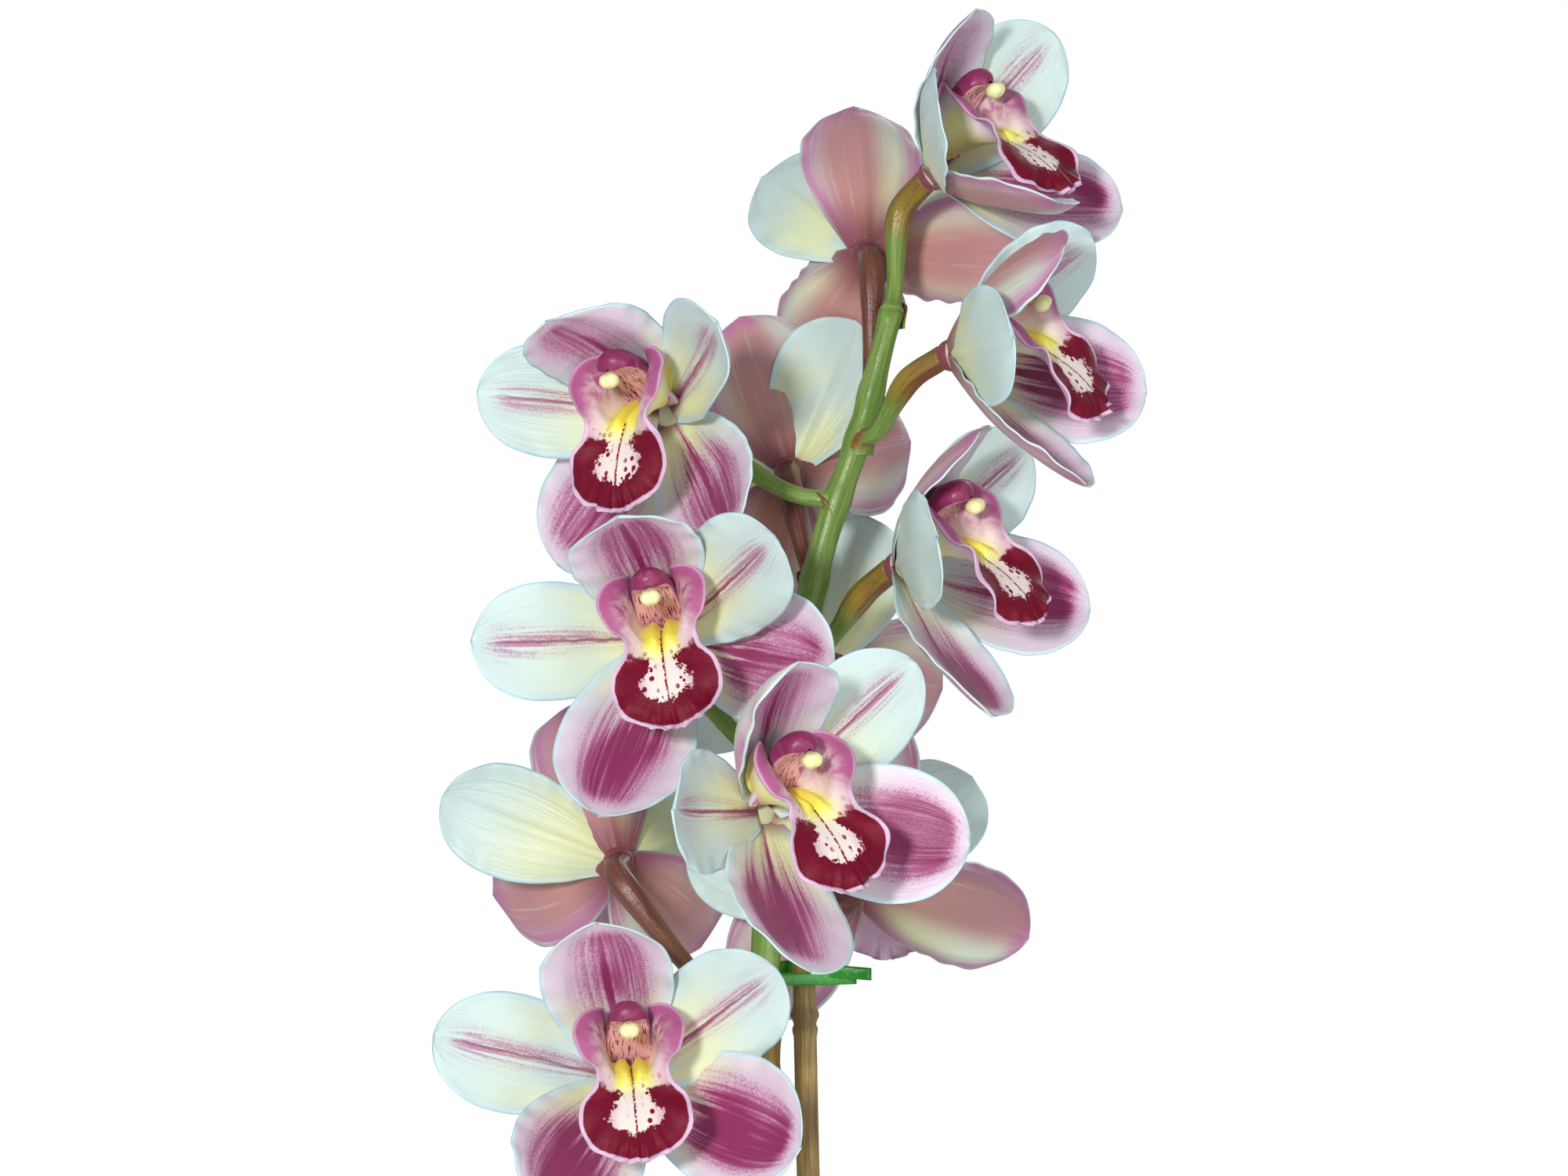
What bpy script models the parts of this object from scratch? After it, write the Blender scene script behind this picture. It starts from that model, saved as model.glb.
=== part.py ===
"""A potted cymbidium orchid: one tall flower spike with twelve open flowers, held by a bamboo stake.

Every size is in metres and every angle in degrees. +Z is up, and the origin is the middle of the pot's base.
A flower has a frame of its own: x to its right, y to its back and z to its top, so that it faces -y.
"""

import math

import bmesh
import bpy
import numpy as np
from mathutils import Matrix, Vector

# Driving dimensions ---------------------------------------------------------------------------------------

POT_HEIGHT = 0.165
POT_RIM_RADIUS = 0.098
POT_BASE_RADIUS = 0.070
POT_WALL = 0.005
POT_FLOOR = 0.006
RIM_HEIGHT = 0.028
RIM_STEP = 0.003
DRAIN_RADIUS = 0.006
DRAIN_RING = 0.042
DRAIN_COUNT = 5
MIX_LEVEL = 0.147
SOCKET_TOP = 0.190
RIM_TAPER = 0.002
TURN_STEPS = 28
MM = 0.001
GAP = 0.0004
WELD = 0.000001

TEPAL_THICKNESS = 0.0016
LIP_THICKNESS = 0.0016
HUB_RADIUS = 0.0043
PEDICEL_RADIUS = 0.0023
OVARY_RADIUS = 0.0032
OVARY_BACK = 0.013
OVARY_DROP = 0.005
PEDICEL_BEND = 0.35
PEDICEL_SAG = 0.004
PEDICEL_REACH = 0.002
STAKE_RADIUS = 0.0030
JOINT_SWELL = 0.0009
JOINT_SPACING = 0.095
TOP_TO_JOINT = 0.027
JOINT_SHAPE = ((-0.004, 0), (0, JOINT_SWELL), (0.003, 0))
STAKE_TOP = Vector((0.0045, 0.0060, 0.472))
STAKE_FOOT = Vector((0.0200, 0.0060, 0.030))

# How a tepal is cut and shaped: greatest width and curl of its cross-section, then what all of them share.
DORSAL = {"width": 0.035, "cup": 30}
PETAL = {"width": 0.031, "cup": 10}
SEPAL = {"width": 0.036, "cup": 22}
TEPAL_BASE = 0.30
TEPAL_WIDEST = 0.58
TEPAL_ROOT = 0.002
EXTRA_BASE_CURL = 15
FINE_STEPS = 80

# The middle line of the flower stalk, from the potting mix to the topmost node, and its radius there.
STALK = [
    ((-0.0140, 0.000, 0.130), 0.0056),
    ((-0.0100, 0.000, 0.200), 0.0052),
    ((-0.0070, 0.000, 0.300), 0.0047),
    ((-0.0053, 0.000, 0.400), 0.0042),
    ((-0.0050, 0.000, 0.450), 0.0040),
    ((-0.0038, 0.000, 0.482), 0.0039),
    ((0.0000, 0.000, 0.516), 0.0038),
    ((0.0063, 0.000, 0.552), 0.0037),
    ((0.0116, 0.000, 0.575), 0.0036),
    ((0.0210, 0.000, 0.603), 0.0033),
    ((0.0288, 0.000, 0.634), 0.0029),
]


class Flower:
    """One flower: where it sits, how it faces and how its five tepals are held.

    Each tepal is (angle, lift at the base, lift at the tip, length in mm). The angle turns clockwise from the
    flower's top, seen from its front, and the lift tips the tepal forward out of the flower's plane.
    """

    def __init__(self, centre, turn, node, dorsal, left_petal, right_petal, left_sepal, right_sepal):
        self.centre = Vector(centre)
        self.yaw, self.pitch, self.roll = turn
        self.node = node
        self.tepals = [
            (dorsal, DORSAL),
            (left_petal, PETAL),
            (right_petal, PETAL),
            (left_sepal, SEPAL),
            (right_sepal, SEPAL),
        ]

    def matrix(self):
        turn = Matrix.Rotation(math.radians(self.yaw), 4, "Z")
        tip = Matrix.Rotation(math.radians(-self.pitch), 4, "X")
        lean = Matrix.Rotation(math.radians(-self.roll), 4, "Y")
        return Matrix.Translation(self.centre) @ turn @ tip @ lean


FLOWERS = [
    Flower((0.0400, -0.002, 0.6705), (48, 24, 9), 0.634,
           (-9, 28, 78, 48), (-81, 34, 54, 50), (56, 25, 45, 51), (-151, 41, 66, 54), (128, 19, 46, 51)),
    Flower((0.0225, 0.020, 0.6510), (185, 0, 0), 0.612,
           (0, 10, 60, 52), (-76, 5, 25, 50), (46, 36, 56, 48), (-90, 3, 18, 48), (150, 38, 62, 45)),
    Flower((0.0440, -0.024, 0.6210), (64, 8, 30), 0.600,
           (-7, 35, 85, 50), (-65, 31, 51, 50), (74, 32, 52, 48), (-137, 29, 56, 54), (140, 31, 58, 55)),
    Flower((-0.0305, -0.012, 0.6065), (-27, -5, 8), 0.583,
           (-16, 34, 84, 52), (-74, 8, 28, 50), (62, 29, 49, 50), (-130, -12, 15, 52), (147, 16, 40, 46)),
    Flower((0.0015, 0.025, 0.5920), (180, 0, -30), 0.562,
           (-12, 0, 35, 46), (-53, -5, 18, 44), (76, 5, 25, 50), (-105, 35, 65, 53), (134, -6, 12, 44)),
    Flower((0.0305, -0.015, 0.5655), (53, 13, 16), 0.543,
           (-3, 32, 80, 49), (-76, 37, 57, 50), (69, 16, 36, 50), (-148, 19, 46, 55), (130, 21, 48, 53)),
    Flower((0.0120, 0.030, 0.5385), (180, 0, -30), 0.532,
           (-8, 26, 60, 40), (-45, -5, 25, 42), (76, 5, 25, 50), (-132, 35, 70, 53), (150, 28, 52, 46)),
    Flower((-0.0300, -0.028, 0.5470), (-4, 2, 12), 0.512,
           (-5, 30, 80, 52), (-80, 6, 26, 50), (63, 32, 52, 50), (-149, 14, 41, 53), (113, 8, 30, 46)),
    Flower((-0.0060, -0.054, 0.5030), (32, 9, 9), 0.497,
           (-6, 25, 75, 52), (-83, 24, 44, 50), (55, 13, 33, 53), (-158, 25, 52, 54), (115, 18, 45, 53)),
    Flower((0.0195, 0.022, 0.4795), (165, 0, 0), 0.482,
           (0, -5, 20, 48), (-43, 25, 50, 46), (80, -15, 0, 46), (-112, 24, 46, 53), (132, 8, 35, 53)),
    Flower((-0.0450, 0.018, 0.4855), (187, 0, 0), 0.440,
           (12, 10, 60, 52), (-75, 40, 65, 50), (70, 4, 22, 50), (-135, 35, 60, 53), (110, 38, 64, 51)),
    Flower((-0.0400, -0.030, 0.4320), (3, 12, 4), 0.428,
           (-10, 20, 70, 52), (-74, -1, 19, 51), (60, 20, 40, 50), (-142, 28, 55, 53), (119, 17, 44, 53)),
]

# The lip's middle line in its plane of symmetry: forward, up, half-width along the surface (mm), and curl.
LIP = [
    (8.5, -0.9, 3.4, 70),
    (13.0, 0.4, 14.0, 88),
    (18.5, -0.2, 21.0, 92),
    (23.0, -2.4, 14.5, 60),
    (27.0, -5.8, 11.0, 18),
    (31.0, -11.0, 14.5, -10),
    (34.0, -17.5, 13.0, -20),
    (35.7, -24.0, 4.0, -15),
]
# The least curl, in radians, so that a flat row still has a radius to bend about.
LEAST_CURL = 0.02
# The column's middle line (forward, up, radius), all in mm.
COLUMN = [
    (5.4, 2.2, 3.0),
    (9.5, 5.0, 3.3),
    (15.0, 9.2, 3.9),
    (21.0, 12.6, 4.6),
    (26.0, 13.4, 4.2),
    (28.5, 12.2, 2.6),
]

# Pseudobulbs: foot on the mix, radius and height. Leaves: bulb, heading (turned from +x), length and rise.
BULBS = [
    ((0.046, 0.034), 0.021, 0.074),
    ((-0.050, 0.012), 0.022, 0.080),
    ((0.014, -0.044), 0.019, 0.066),
    ((-0.020, 0.054), 0.020, 0.070),
]
BULB_DEPTH = 0.014
BULB_TAPER = 0.22
LEAVES = [
    (0, 12, 0.300, 78),
    (0, 62, 0.285, 70),
    (0, -32, 0.275, 66),
    (1, 168, 0.310, 80),
    (1, 214, 0.290, 70),
    (2, 300, 0.285, 76),
    (2, 250, 0.270, 68),
    (3, 92, 0.300, 78),
    (3, 136, 0.280, 68),
]
LEAF_WIDTH = 0.026
LEAF_THICKNESS = 0.0018
LEAF_DROOP = 112
LEAF_BASE = 0.26
LEAF_OPENING = 1.6
BASE_FOLD = 38
TIP_FOLD = 16
LEAF_OFFSET = 0.0105
LEAF_DROP = 0.0030

SHEATHS = [0.195, 0.250, 0.315]
SHEATH_LENGTH = 0.040
SHEATH_SIDES = 12
SHEATH_THICKNESS = 0.0008
# How far a sheath stands off the stalk at each share of its length.
SHEATH_SPREAD = ((0.0, 0.0009), (0.5, 0.0016), (1.0, 0.0030))
TIES = [0.4567, 0.3050]
TIE_HEIGHT = 0.0035
TIE_THICKNESS = 0.0010
TIE_TAIL = Vector((0.016, -0.004))
TIE_OVERLAP = 0.85


# Helpers --------------------------------------------------------------------------------------------------

def new_collection(name, hidden=False):
    collection = bpy.data.collections.new(name)
    collection.hide_render = hidden
    bpy.context.scene.collection.children.link(collection)
    return collection


def new_object(name, data, collection, material=None):
    obj = bpy.data.objects.new(name, data)
    if material and not data.materials:
        data.materials.append(material)
    collection.objects.link(obj)
    return obj


def new_material(name, colour, roughness=0.5, metallic=0.0):
    material = bpy.data.materials.new(name)
    material.use_nodes = True
    shader = material.node_tree.nodes["Principled BSDF"]
    shader.inputs["Base Color"].default_value = (*colour, 1)
    shader.inputs["Roughness"].default_value = roughness
    shader.inputs["Metallic"].default_value = metallic
    return material


def mesh_from_bmesh(name, shape, smooth=True):
    mesh = bpy.data.meshes.new(name)
    shape.to_mesh(mesh)
    shape.free()
    if smooth:
        mesh.shade_smooth()
    return mesh


def sheet_mesh(name, points):
    """A quad sheet through a grid of points, rows along its first axis."""
    rows, columns = points.shape[:2]
    shape = bmesh.new()
    corners = [[shape.verts.new(point) for point in row] for row in points]
    for i in range(rows - 1):
        for j in range(columns - 1):
            shape.faces.new((corners[i][j], corners[i][j + 1], corners[i + 1][j + 1], corners[i + 1][j]))
    return mesh_from_bmesh(name, shape)


def thicken(obj, thickness):
    solidify = obj.modifiers.new("Thickness", "SOLIDIFY")
    solidify.thickness = thickness
    solidify.offset = 0
    return obj


def tube(name, route, radii, collection, material, sides=2):
    """A round bar of varying radius along a route, as a mesh whose caps are welded."""
    curve = bpy.data.curves.new(name, "CURVE")
    curve.dimensions = "3D"
    curve.bevel_depth = 1.0
    curve.bevel_resolution = sides
    curve.use_fill_caps = True
    spline = curve.splines.new("POLY")
    spline.points.add(len(route) - 1)
    for point, place, radius in zip(spline.points, route, radii):
        point.co = (*place, 1)
        point.radius = radius
    guide = new_object(name + "_guide", curve, collection)
    return new_object(name, welded(baked_mesh(guide, name)), collection, material)


def islands(shape):
    """The connected groups of vertices, largest first."""
    left = set(shape.verts)
    groups = []
    while left:
        group, edge = set(), [left.pop()]
        while edge:
            vert = edge.pop()
            group.add(vert)
            near = {link.other_vert(vert) for link in vert.link_edges} & left
            left -= near
            edge.extend(near)
        groups.append(group)
    return sorted(groups, key=len, reverse=True)


def welded(mesh):
    """The mesh with coincident points merged, and without faces or slivers that enclose nothing."""
    shape = bmesh.new()
    shape.from_mesh(mesh)
    bmesh.ops.remove_doubles(shape, verts=shape.verts, dist=WELD)
    bmesh.ops.dissolve_degenerate(shape, edges=shape.edges, dist=WELD)
    for sliver in islands(shape)[1:]:
        bmesh.ops.delete(shape, geom=list(sliver), context="VERTS")
    bmesh.ops.recalc_face_normals(shape, faces=shape.faces)
    shape.to_mesh(mesh)
    shape.free()
    mesh.shade_smooth()
    return mesh


def baked_mesh(obj, name):
    """The object's evaluated mesh, with the object itself removed."""
    bpy.context.view_layer.update()
    graph = bpy.context.evaluated_depsgraph_get()
    mesh = bpy.data.meshes.new_from_object(obj.evaluated_get(graph))
    mesh.name = name
    mesh.transform(obj.matrix_world)
    data = obj.data
    bpy.data.objects.remove(obj)
    if not data.users:
        (bpy.data.curves if isinstance(data, bpy.types.Curve) else bpy.data.meshes).remove(data)
    return mesh


def combined(base, others, operation, solver="EXACT"):
    """The base joined with, or cut by, the other objects, which are removed."""
    for other in others:
        boolean = base.modifiers.new(operation.title(), "BOOLEAN")
        boolean.operation = operation
        boolean.solver = solver
        boolean.object = other
    name, collection = base.name, base.users_collection[0]
    mesh = baked_mesh(base, name)
    for other in others:
        bpy.data.objects.remove(other)
    return new_object(name, welded(mesh), collection)


def smooth_route(points, steps):
    """A Catmull-Rom curve through the points, with a number of steps between each two."""
    points = [Vector(point) for point in points]
    ends = [2 * points[0] - points[1]] + points + [2 * points[-1] - points[-2]]
    route = []
    for before, start, end, after in zip(ends, ends[1:], ends[2:], ends[3:]):
        for step in range(steps):
            t = step / steps
            route.append(0.5 * (2 * start + (end - before) * t
                                + (2 * before - 5 * start + 4 * end - after) * t ** 2
                                + (3 * start - before - 3 * end + after) * t ** 3))
    return route + [points[-1]]


def smoothstep(share):
    share = np.clip(share, 0, 1)
    return share * share * (3 - 2 * share)


# Flowers --------------------------------------------------------------------------------------------------

def tepal_half_width(along):
    """Half-width along a tepal, as a share of its greatest: it is widest just past the middle."""
    opening = TEPAL_BASE + (1 - TEPAL_BASE) * np.sin(0.5 * math.pi * np.clip(along / TEPAL_WIDEST, 0, 1))
    past = np.clip((along - TEPAL_WIDEST) / (1 - TEPAL_WIDEST), 0, 1)
    return np.where(along < TEPAL_WIDEST, opening, (1 - past ** 2.4) ** 0.55)


def tepal_points(held, cut, along, across):
    """Points of a tepal's middle surface in its flower's frame, one row for each place along it."""
    angle, base_lift, tip_lift, length = held
    fine = np.linspace(0, 1, FINE_STEPS + 1)
    lift = np.radians(base_lift + (tip_lift - base_lift) * fine)
    outward = np.array((math.sin(math.radians(angle)), 0, math.cos(math.radians(angle))))
    sideways = np.array((outward[2], 0, -outward[0]))
    forward = np.array((0, -1, 0))
    heading = np.outer(np.cos(lift), outward) + np.outer(np.sin(lift), forward)
    facing = np.outer(-np.sin(lift), outward) + np.outer(np.cos(lift), forward)
    steps = (heading[1:] + heading[:-1]) / 2 * length * MM / FINE_STEPS
    middle = np.vstack([np.zeros(3), np.cumsum(steps, axis=0)]) + TEPAL_ROOT * outward
    middle = np.stack([np.interp(along, fine, middle[:, k]) for k in range(3)], axis=1)
    facing = np.stack([np.interp(along, fine, facing[:, k]) for k in range(3)], axis=1)
    half_width = cut["width"] / 2 * tepal_half_width(along)
    curl = np.radians(cut["cup"] + EXTRA_BASE_CURL * (1 - smoothstep(2 * along)))
    bend = np.outer(curl, across)
    aside = (half_width / curl)[:, None] * np.sin(bend)
    rise = (half_width / curl)[:, None] * (1 - np.cos(bend))
    return middle[:, None] + aside[..., None] * sideways + rise[..., None] * facing[:, None]


def lip_points(along, across):
    """Points of the lip: a deep trough between two side lobes, then a mid-lobe that rolls down."""
    forward, up, width, curl = (np.array(values, float) for values in zip(*LIP))
    places = np.linspace(0, 1, len(LIP))
    forward, up = np.interp(along, places, forward), np.interp(along, places, up)
    middle = np.stack([np.zeros_like(along), -forward, up], axis=1)
    slope = np.gradient(middle, axis=0)
    slope /= np.linalg.norm(slope, axis=1)[:, None]
    upward = np.stack([np.zeros_like(along), slope[:, 2], -slope[:, 1]], axis=1)
    curl = np.radians(np.interp(along, places, curl))
    curl = np.where(np.abs(curl) < LEAST_CURL, LEAST_CURL, curl)
    width = np.interp(along, places, width)
    bend = np.outer(curl, across)
    aside = (width / curl)[:, None] * np.sin(bend)
    rise = (width / curl)[:, None] * (1 - np.cos(bend))
    return MM * (middle[:, None] + aside[..., None] * np.array((1, 0, 0)) + rise[..., None] * upward[:, None])


def perianth(name, flower, collection, material):
    """The five tepals and the small hub that they grow from, as one solid."""
    along = np.array((0, 0.20, 0.45, 0.72, 0.94))
    across = np.linspace(-1, 1, 4)
    shape = bmesh.new()
    bmesh.ops.create_uvsphere(shape, u_segments=8, v_segments=5, radius=HUB_RADIUS)
    hub = new_object(name, mesh_from_bmesh(name, shape), collection, material)
    tepals = []
    for index, (held, cut) in enumerate(flower.tepals):
        mesh = sheet_mesh(f"{name}_tepal_{index}", tepal_points(held, cut, along, across))
        tepals.append(thicken(new_object(mesh.name, mesh, collection), TEPAL_THICKNESS))
    # EXACT loses the body where two thin tepals cross beside the hub, and MANIFOLD keeps it.
    whole = combined(hub, tepals, "UNION", solver="MANIFOLD")
    whole.matrix_world = flower.matrix()
    return whole


def lip(name, flower, collection, material):
    mesh = sheet_mesh(name, lip_points(np.linspace(0, 1, 8), np.linspace(-1, 1, 5)))
    whole = thicken(new_object(name, mesh, collection, material), LIP_THICKNESS)
    whole.matrix_world = flower.matrix()
    return whole


def column(name, flower, collection, material):
    route = [Vector((0, -forward, up)) * MM for forward, up, _ in COLUMN]
    whole = tube(name, route, [radius * MM for _, _, radius in COLUMN], collection, material)
    whole.matrix_world = flower.matrix()
    return whole


def stalk_at(height):
    """The middle of the stalk and its radius at a height."""
    heights = [place[2] for place, _ in STALK]
    place = [np.interp(height, heights, [place[axis] for place, _ in STALK]) for axis in range(3)]
    return Vector(place), float(np.interp(height, heights, [radius for _, radius in STALK]))


def pedicel(name, flower, collection):
    """A flower's own stalk: up from its node, thickening into the ovary behind the flower."""
    node, _ = stalk_at(flower.node)
    backward = flower.matrix().to_3x3() @ Vector((0, 1, 0))
    end = flower.centre + backward * (HUB_RADIUS + 3 * GAP)
    behind = flower.centre + backward * OVARY_BACK + Vector((0, 0, -OVARY_DROP))
    out = (behind - node).normalized()
    low = node + PEDICEL_BEND * (behind - node) + Vector((0, 0, -PEDICEL_SAG)) + PEDICEL_REACH * out
    route = smooth_route([node, low, behind, end], 2)
    share = np.linspace(0, 1, len(route))
    radii = PEDICEL_RADIUS + (OVARY_RADIUS - PEDICEL_RADIUS) * smoothstep((share - PEDICEL_BEND) / 0.4)
    return tube(name, route, radii, collection, None)


def flower_stem(collection, material):
    """The stalk with the twelve flowers' own stalks, all one grown piece."""
    route = smooth_route([place for place, _ in STALK], 2)
    heights = [place[2] for place, _ in STALK]
    radii = [float(np.interp(point.z, heights, [radius for _, radius in STALK])) for point in route]
    stalk = tube("flower_stem", route, radii, collection, material)
    branches = [pedicel(f"pedicel_{index}", flower, collection) for index, flower in enumerate(FLOWERS)]
    return combined(stalk, branches, "UNION")


# Leaves, bulbs and sheaths --------------------------------------------------------------------------------

def bulb_mesh(name, radius, height, grow=0.0):
    """An egg-shaped pseudobulb that stands on its blunt end, grown by a margin where it is a cutter."""
    shape = bmesh.new()
    bmesh.ops.create_uvsphere(shape, u_segments=14, v_segments=9, radius=1)
    for vert in shape.verts:
        taper = 1 - BULB_TAPER * vert.co.z
        vert.co.x *= taper * (radius + grow)
        vert.co.y *= taper * (radius + grow)
        vert.co.z *= height / 2 + grow
    return mesh_from_bmesh(name, shape)


def bulb_centre(index):
    (x, y), _, height = BULBS[index]
    return Vector((x, y, MIX_LEVEL - BULB_DEPTH + height / 2))


def leaf(name, bulb, heading, length, rise, collection, material):
    """A strap leaf, folded along its midrib at the base, that rises from its bulb and arches over."""
    along = np.linspace(0, 1, 11)
    fine = np.linspace(0, 1, FINE_STEPS + 1)
    slope = np.radians(rise - LEAF_DROOP * fine)
    step = length / FINE_STEPS / 2
    out = np.concatenate([[0], np.cumsum((np.cos(slope[1:]) + np.cos(slope[:-1])) * step)])
    up = np.concatenate([[0], np.cumsum((np.sin(slope[1:]) + np.sin(slope[:-1])) * step)])
    out, up, slope = (np.interp(along, fine, values) for values in (out, up, slope))
    opening = np.minimum(LEAF_BASE + LEAF_OPENING * along, 1)
    half = LEAF_WIDTH / 2 * opening * np.sqrt(np.clip(1.02 - along ** 6, 0, 1))
    fold = np.radians(BASE_FOLD + (TIP_FOLD - BASE_FOLD) * along)
    across = np.array((-1, 0, 1))
    outward = np.array((math.cos(math.radians(heading)), math.sin(math.radians(heading)), 0))
    sideways = np.array((-outward[1], outward[0], 0))
    normal = np.outer(-np.sin(slope), outward) + np.outer(np.cos(slope), (0, 0, 1))
    top = bulb_centre(bulb) + Vector((0, 0, BULBS[bulb][2] / 2))
    start = np.array(top) + LEAF_OFFSET * outward - np.array((0, 0, LEAF_DROP))
    middle = start + np.outer(out, outward) + np.outer(up, (0, 0, 1))
    aside = (half * np.cos(fold))[:, None, None] * across[None, :, None] * sideways
    lifted = (half * np.sin(fold))[:, None, None] * np.abs(across)[None, :, None] * normal[:, None]
    mesh = sheet_mesh(name, middle[:, None] + aside + lifted)
    return thicken(new_object(name, mesh, collection, material), LEAF_THICKNESS)


def sheath(name, height, collection, material):
    """A papery bract: an open sleeve round the stalk, held off it by a small gap."""
    low, low_radius = stalk_at(height)
    high, _ = stalk_at(height + SHEATH_LENGTH)
    rows = []
    for share, spare in SHEATH_SPREAD:
        middle = low.lerp(high, share)
        radius = low_radius + spare + GAP
        angles = np.linspace(0, 2 * math.pi, SHEATH_SIDES, endpoint=False)
        around = zip(radius * np.cos(angles), radius * np.sin(angles))
        rows.append([(middle.x + x, middle.y + y, middle.z) for x, y in around])
    shape = bmesh.new()
    rings = [[shape.verts.new(point) for point in row] for row in rows]
    for lower, upper in zip(rings, rings[1:]):
        for k in range(SHEATH_SIDES):
            n = (k + 1) % SHEATH_SIDES
            shape.faces.new((lower[k], lower[n], upper[n], upper[k]))
    sleeve = new_object(name, mesh_from_bmesh(name, shape), collection, material)
    thicken(sleeve, SHEATH_THICKNESS).modifiers["Thickness"].offset = 1
    return sleeve


# Stake and ties -------------------------------------------------------------------------------------------

def stake_at(height):
    share = (height - STAKE_FOOT.z) / (STAKE_TOP.z - STAKE_FOOT.z)
    return STAKE_FOOT.lerp(STAKE_TOP, share)


def bamboo_stake(collection, material):
    """A thin bamboo cane with evenly spaced swollen joints."""
    length = (STAKE_TOP - STAKE_FOOT).length
    places, radii = [0.0], [STAKE_RADIUS]
    for joint in np.arange(length - TOP_TO_JOINT, 0.02, -JOINT_SPACING)[::-1]:
        for offset, swell in JOINT_SHAPE:
            places.append(joint + offset)
            radii.append(STAKE_RADIUS + swell)
    places.append(length)
    radii.append(STAKE_RADIUS)
    route = [STAKE_FOOT.lerp(STAKE_TOP, place / length) for place in places]
    return tube("bamboo_stake", route, radii, collection, material)


def tie(name, height, collection, material):
    """A plastic strip that goes once round the stalk and the stake, with a free end to the right."""
    stalk, stalk_radius = stalk_at(height)
    stake = stake_at(height)
    margin = GAP + TIE_THICKNESS / 2
    direction = math.atan2(stake.y - stalk.y, stake.x - stalk.x)
    arcs = [(stake, STAKE_RADIUS + JOINT_SWELL + margin, -90), (stalk, stalk_radius + margin, 90)]
    loop = []
    for centre, radius, first in arcs:
        for turn in range(0, 181, 30):
            angle = direction + math.radians(first + turn)
            loop.append((centre.x + radius * math.cos(angle), centre.y + radius * math.sin(angle)))
    start = Vector(loop[0])
    end = Vector(loop[-1])
    shut = end.lerp(start, TIE_OVERLAP)
    tail = start + TIE_TAIL
    route = [tail] + loop + [tuple(shut)]
    low = height - TIE_HEIGHT / 2
    points = np.array([[(x, y, low + TIE_HEIGHT * side) for side in (0, 1)] for x, y in route])
    strip = new_object(name, sheet_mesh(name, points), collection, material)
    return thicken(strip, TIE_THICKNESS)


# Pot and mix ----------------------------------------------------------------------------------------------

def turned(name, profile, collection, material):
    """A solid turned about the z axis. Its profile starts and ends on the axis."""
    shape = bmesh.new()
    corners = [shape.verts.new((radius, 0, height)) for radius, height in profile]
    for one, two in zip(corners, corners[1:]):
        shape.edges.new((one, two))
    obj = new_object(name, mesh_from_bmesh(name, shape), collection, material)
    screw = obj.modifiers.new("Turn", "SCREW")
    screw.steps = TURN_STEPS
    screw.render_steps = TURN_STEPS
    screw.use_merge_vertices = True
    screw.merge_threshold = 0.0001
    return obj


def pot_radius(height):
    """The pot's outer radius below its rim."""
    return POT_BASE_RADIUS + (POT_RIM_RADIUS - RIM_STEP - POT_BASE_RADIUS) * height / POT_HEIGHT


def pot(collection, cutters, material):
    """A plain tapered pot with a thick rim and drain holes in its floor."""
    rim_foot = POT_HEIGHT - RIM_HEIGHT
    profile = [
        (0, POT_FLOOR),
        (pot_radius(POT_FLOOR) - POT_WALL, POT_FLOOR),
        (pot_radius(POT_HEIGHT) - POT_WALL, POT_HEIGHT),
        (POT_RIM_RADIUS, POT_HEIGHT),
        (POT_RIM_RADIUS - RIM_TAPER, rim_foot),
        (pot_radius(rim_foot), rim_foot - RIM_TAPER),
        (POT_BASE_RADIUS, 0),
        (0, 0),
    ]
    body = turned("pot", profile, collection, material)
    drains = []
    for index in range(DRAIN_COUNT):
        angle = 2 * math.pi * index / DRAIN_COUNT
        drill = bmesh.new()
        bmesh.ops.create_cone(drill, cap_ends=True, segments=10, radius1=DRAIN_RADIUS, radius2=DRAIN_RADIUS,
                              depth=4 * POT_FLOOR)
        drill.transform(Matrix.Translation((DRAIN_RING * math.cos(angle), DRAIN_RING * math.sin(angle), 0)))
        drains.append(new_object(f"drain_{index}", mesh_from_bmesh(f"drain_{index}", drill, False), cutters))
    return combined(body, drains, "DIFFERENCE")


def potting_mix(collection, cutters, material):
    """The bark mix that fills the pot, with sockets where the bulbs, the stalk and the stake stand in it."""
    low = POT_FLOOR + GAP
    profile = [
        (0, MIX_LEVEL),
        (pot_radius(MIX_LEVEL) - POT_WALL - GAP, MIX_LEVEL),
        (pot_radius(low) - POT_WALL - GAP, low),
        (0, low),
    ]
    body = turned("potting_mix", profile, collection, material)
    sockets = []
    for index, (_, radius, height) in enumerate(BULBS):
        mesh = bulb_mesh(f"socket_{index}", radius, height, grow=GAP)
        sockets.append(new_object(mesh.name, mesh, cutters))
        sockets[-1].location = bulb_centre(index)
    below = Vector((0, 0, -GAP))
    stalk_foot, stalk_radius = stalk_at(0)
    stalk_route = [stalk_foot + below, stalk_at(SOCKET_TOP)[0]]
    stake_route = [STAKE_FOOT + below, stake_at(SOCKET_TOP)]
    sockets.append(tube("stalk_socket", stalk_route, [stalk_radius + 2 * GAP] * 2, cutters, None))
    sockets.append(tube("stake_socket", stake_route, [STAKE_RADIUS + JOINT_SWELL + GAP] * 2, cutters, None))
    return combined(body, sockets, "DIFFERENCE")


# The whole plant ------------------------------------------------------------------------------------------

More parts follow.
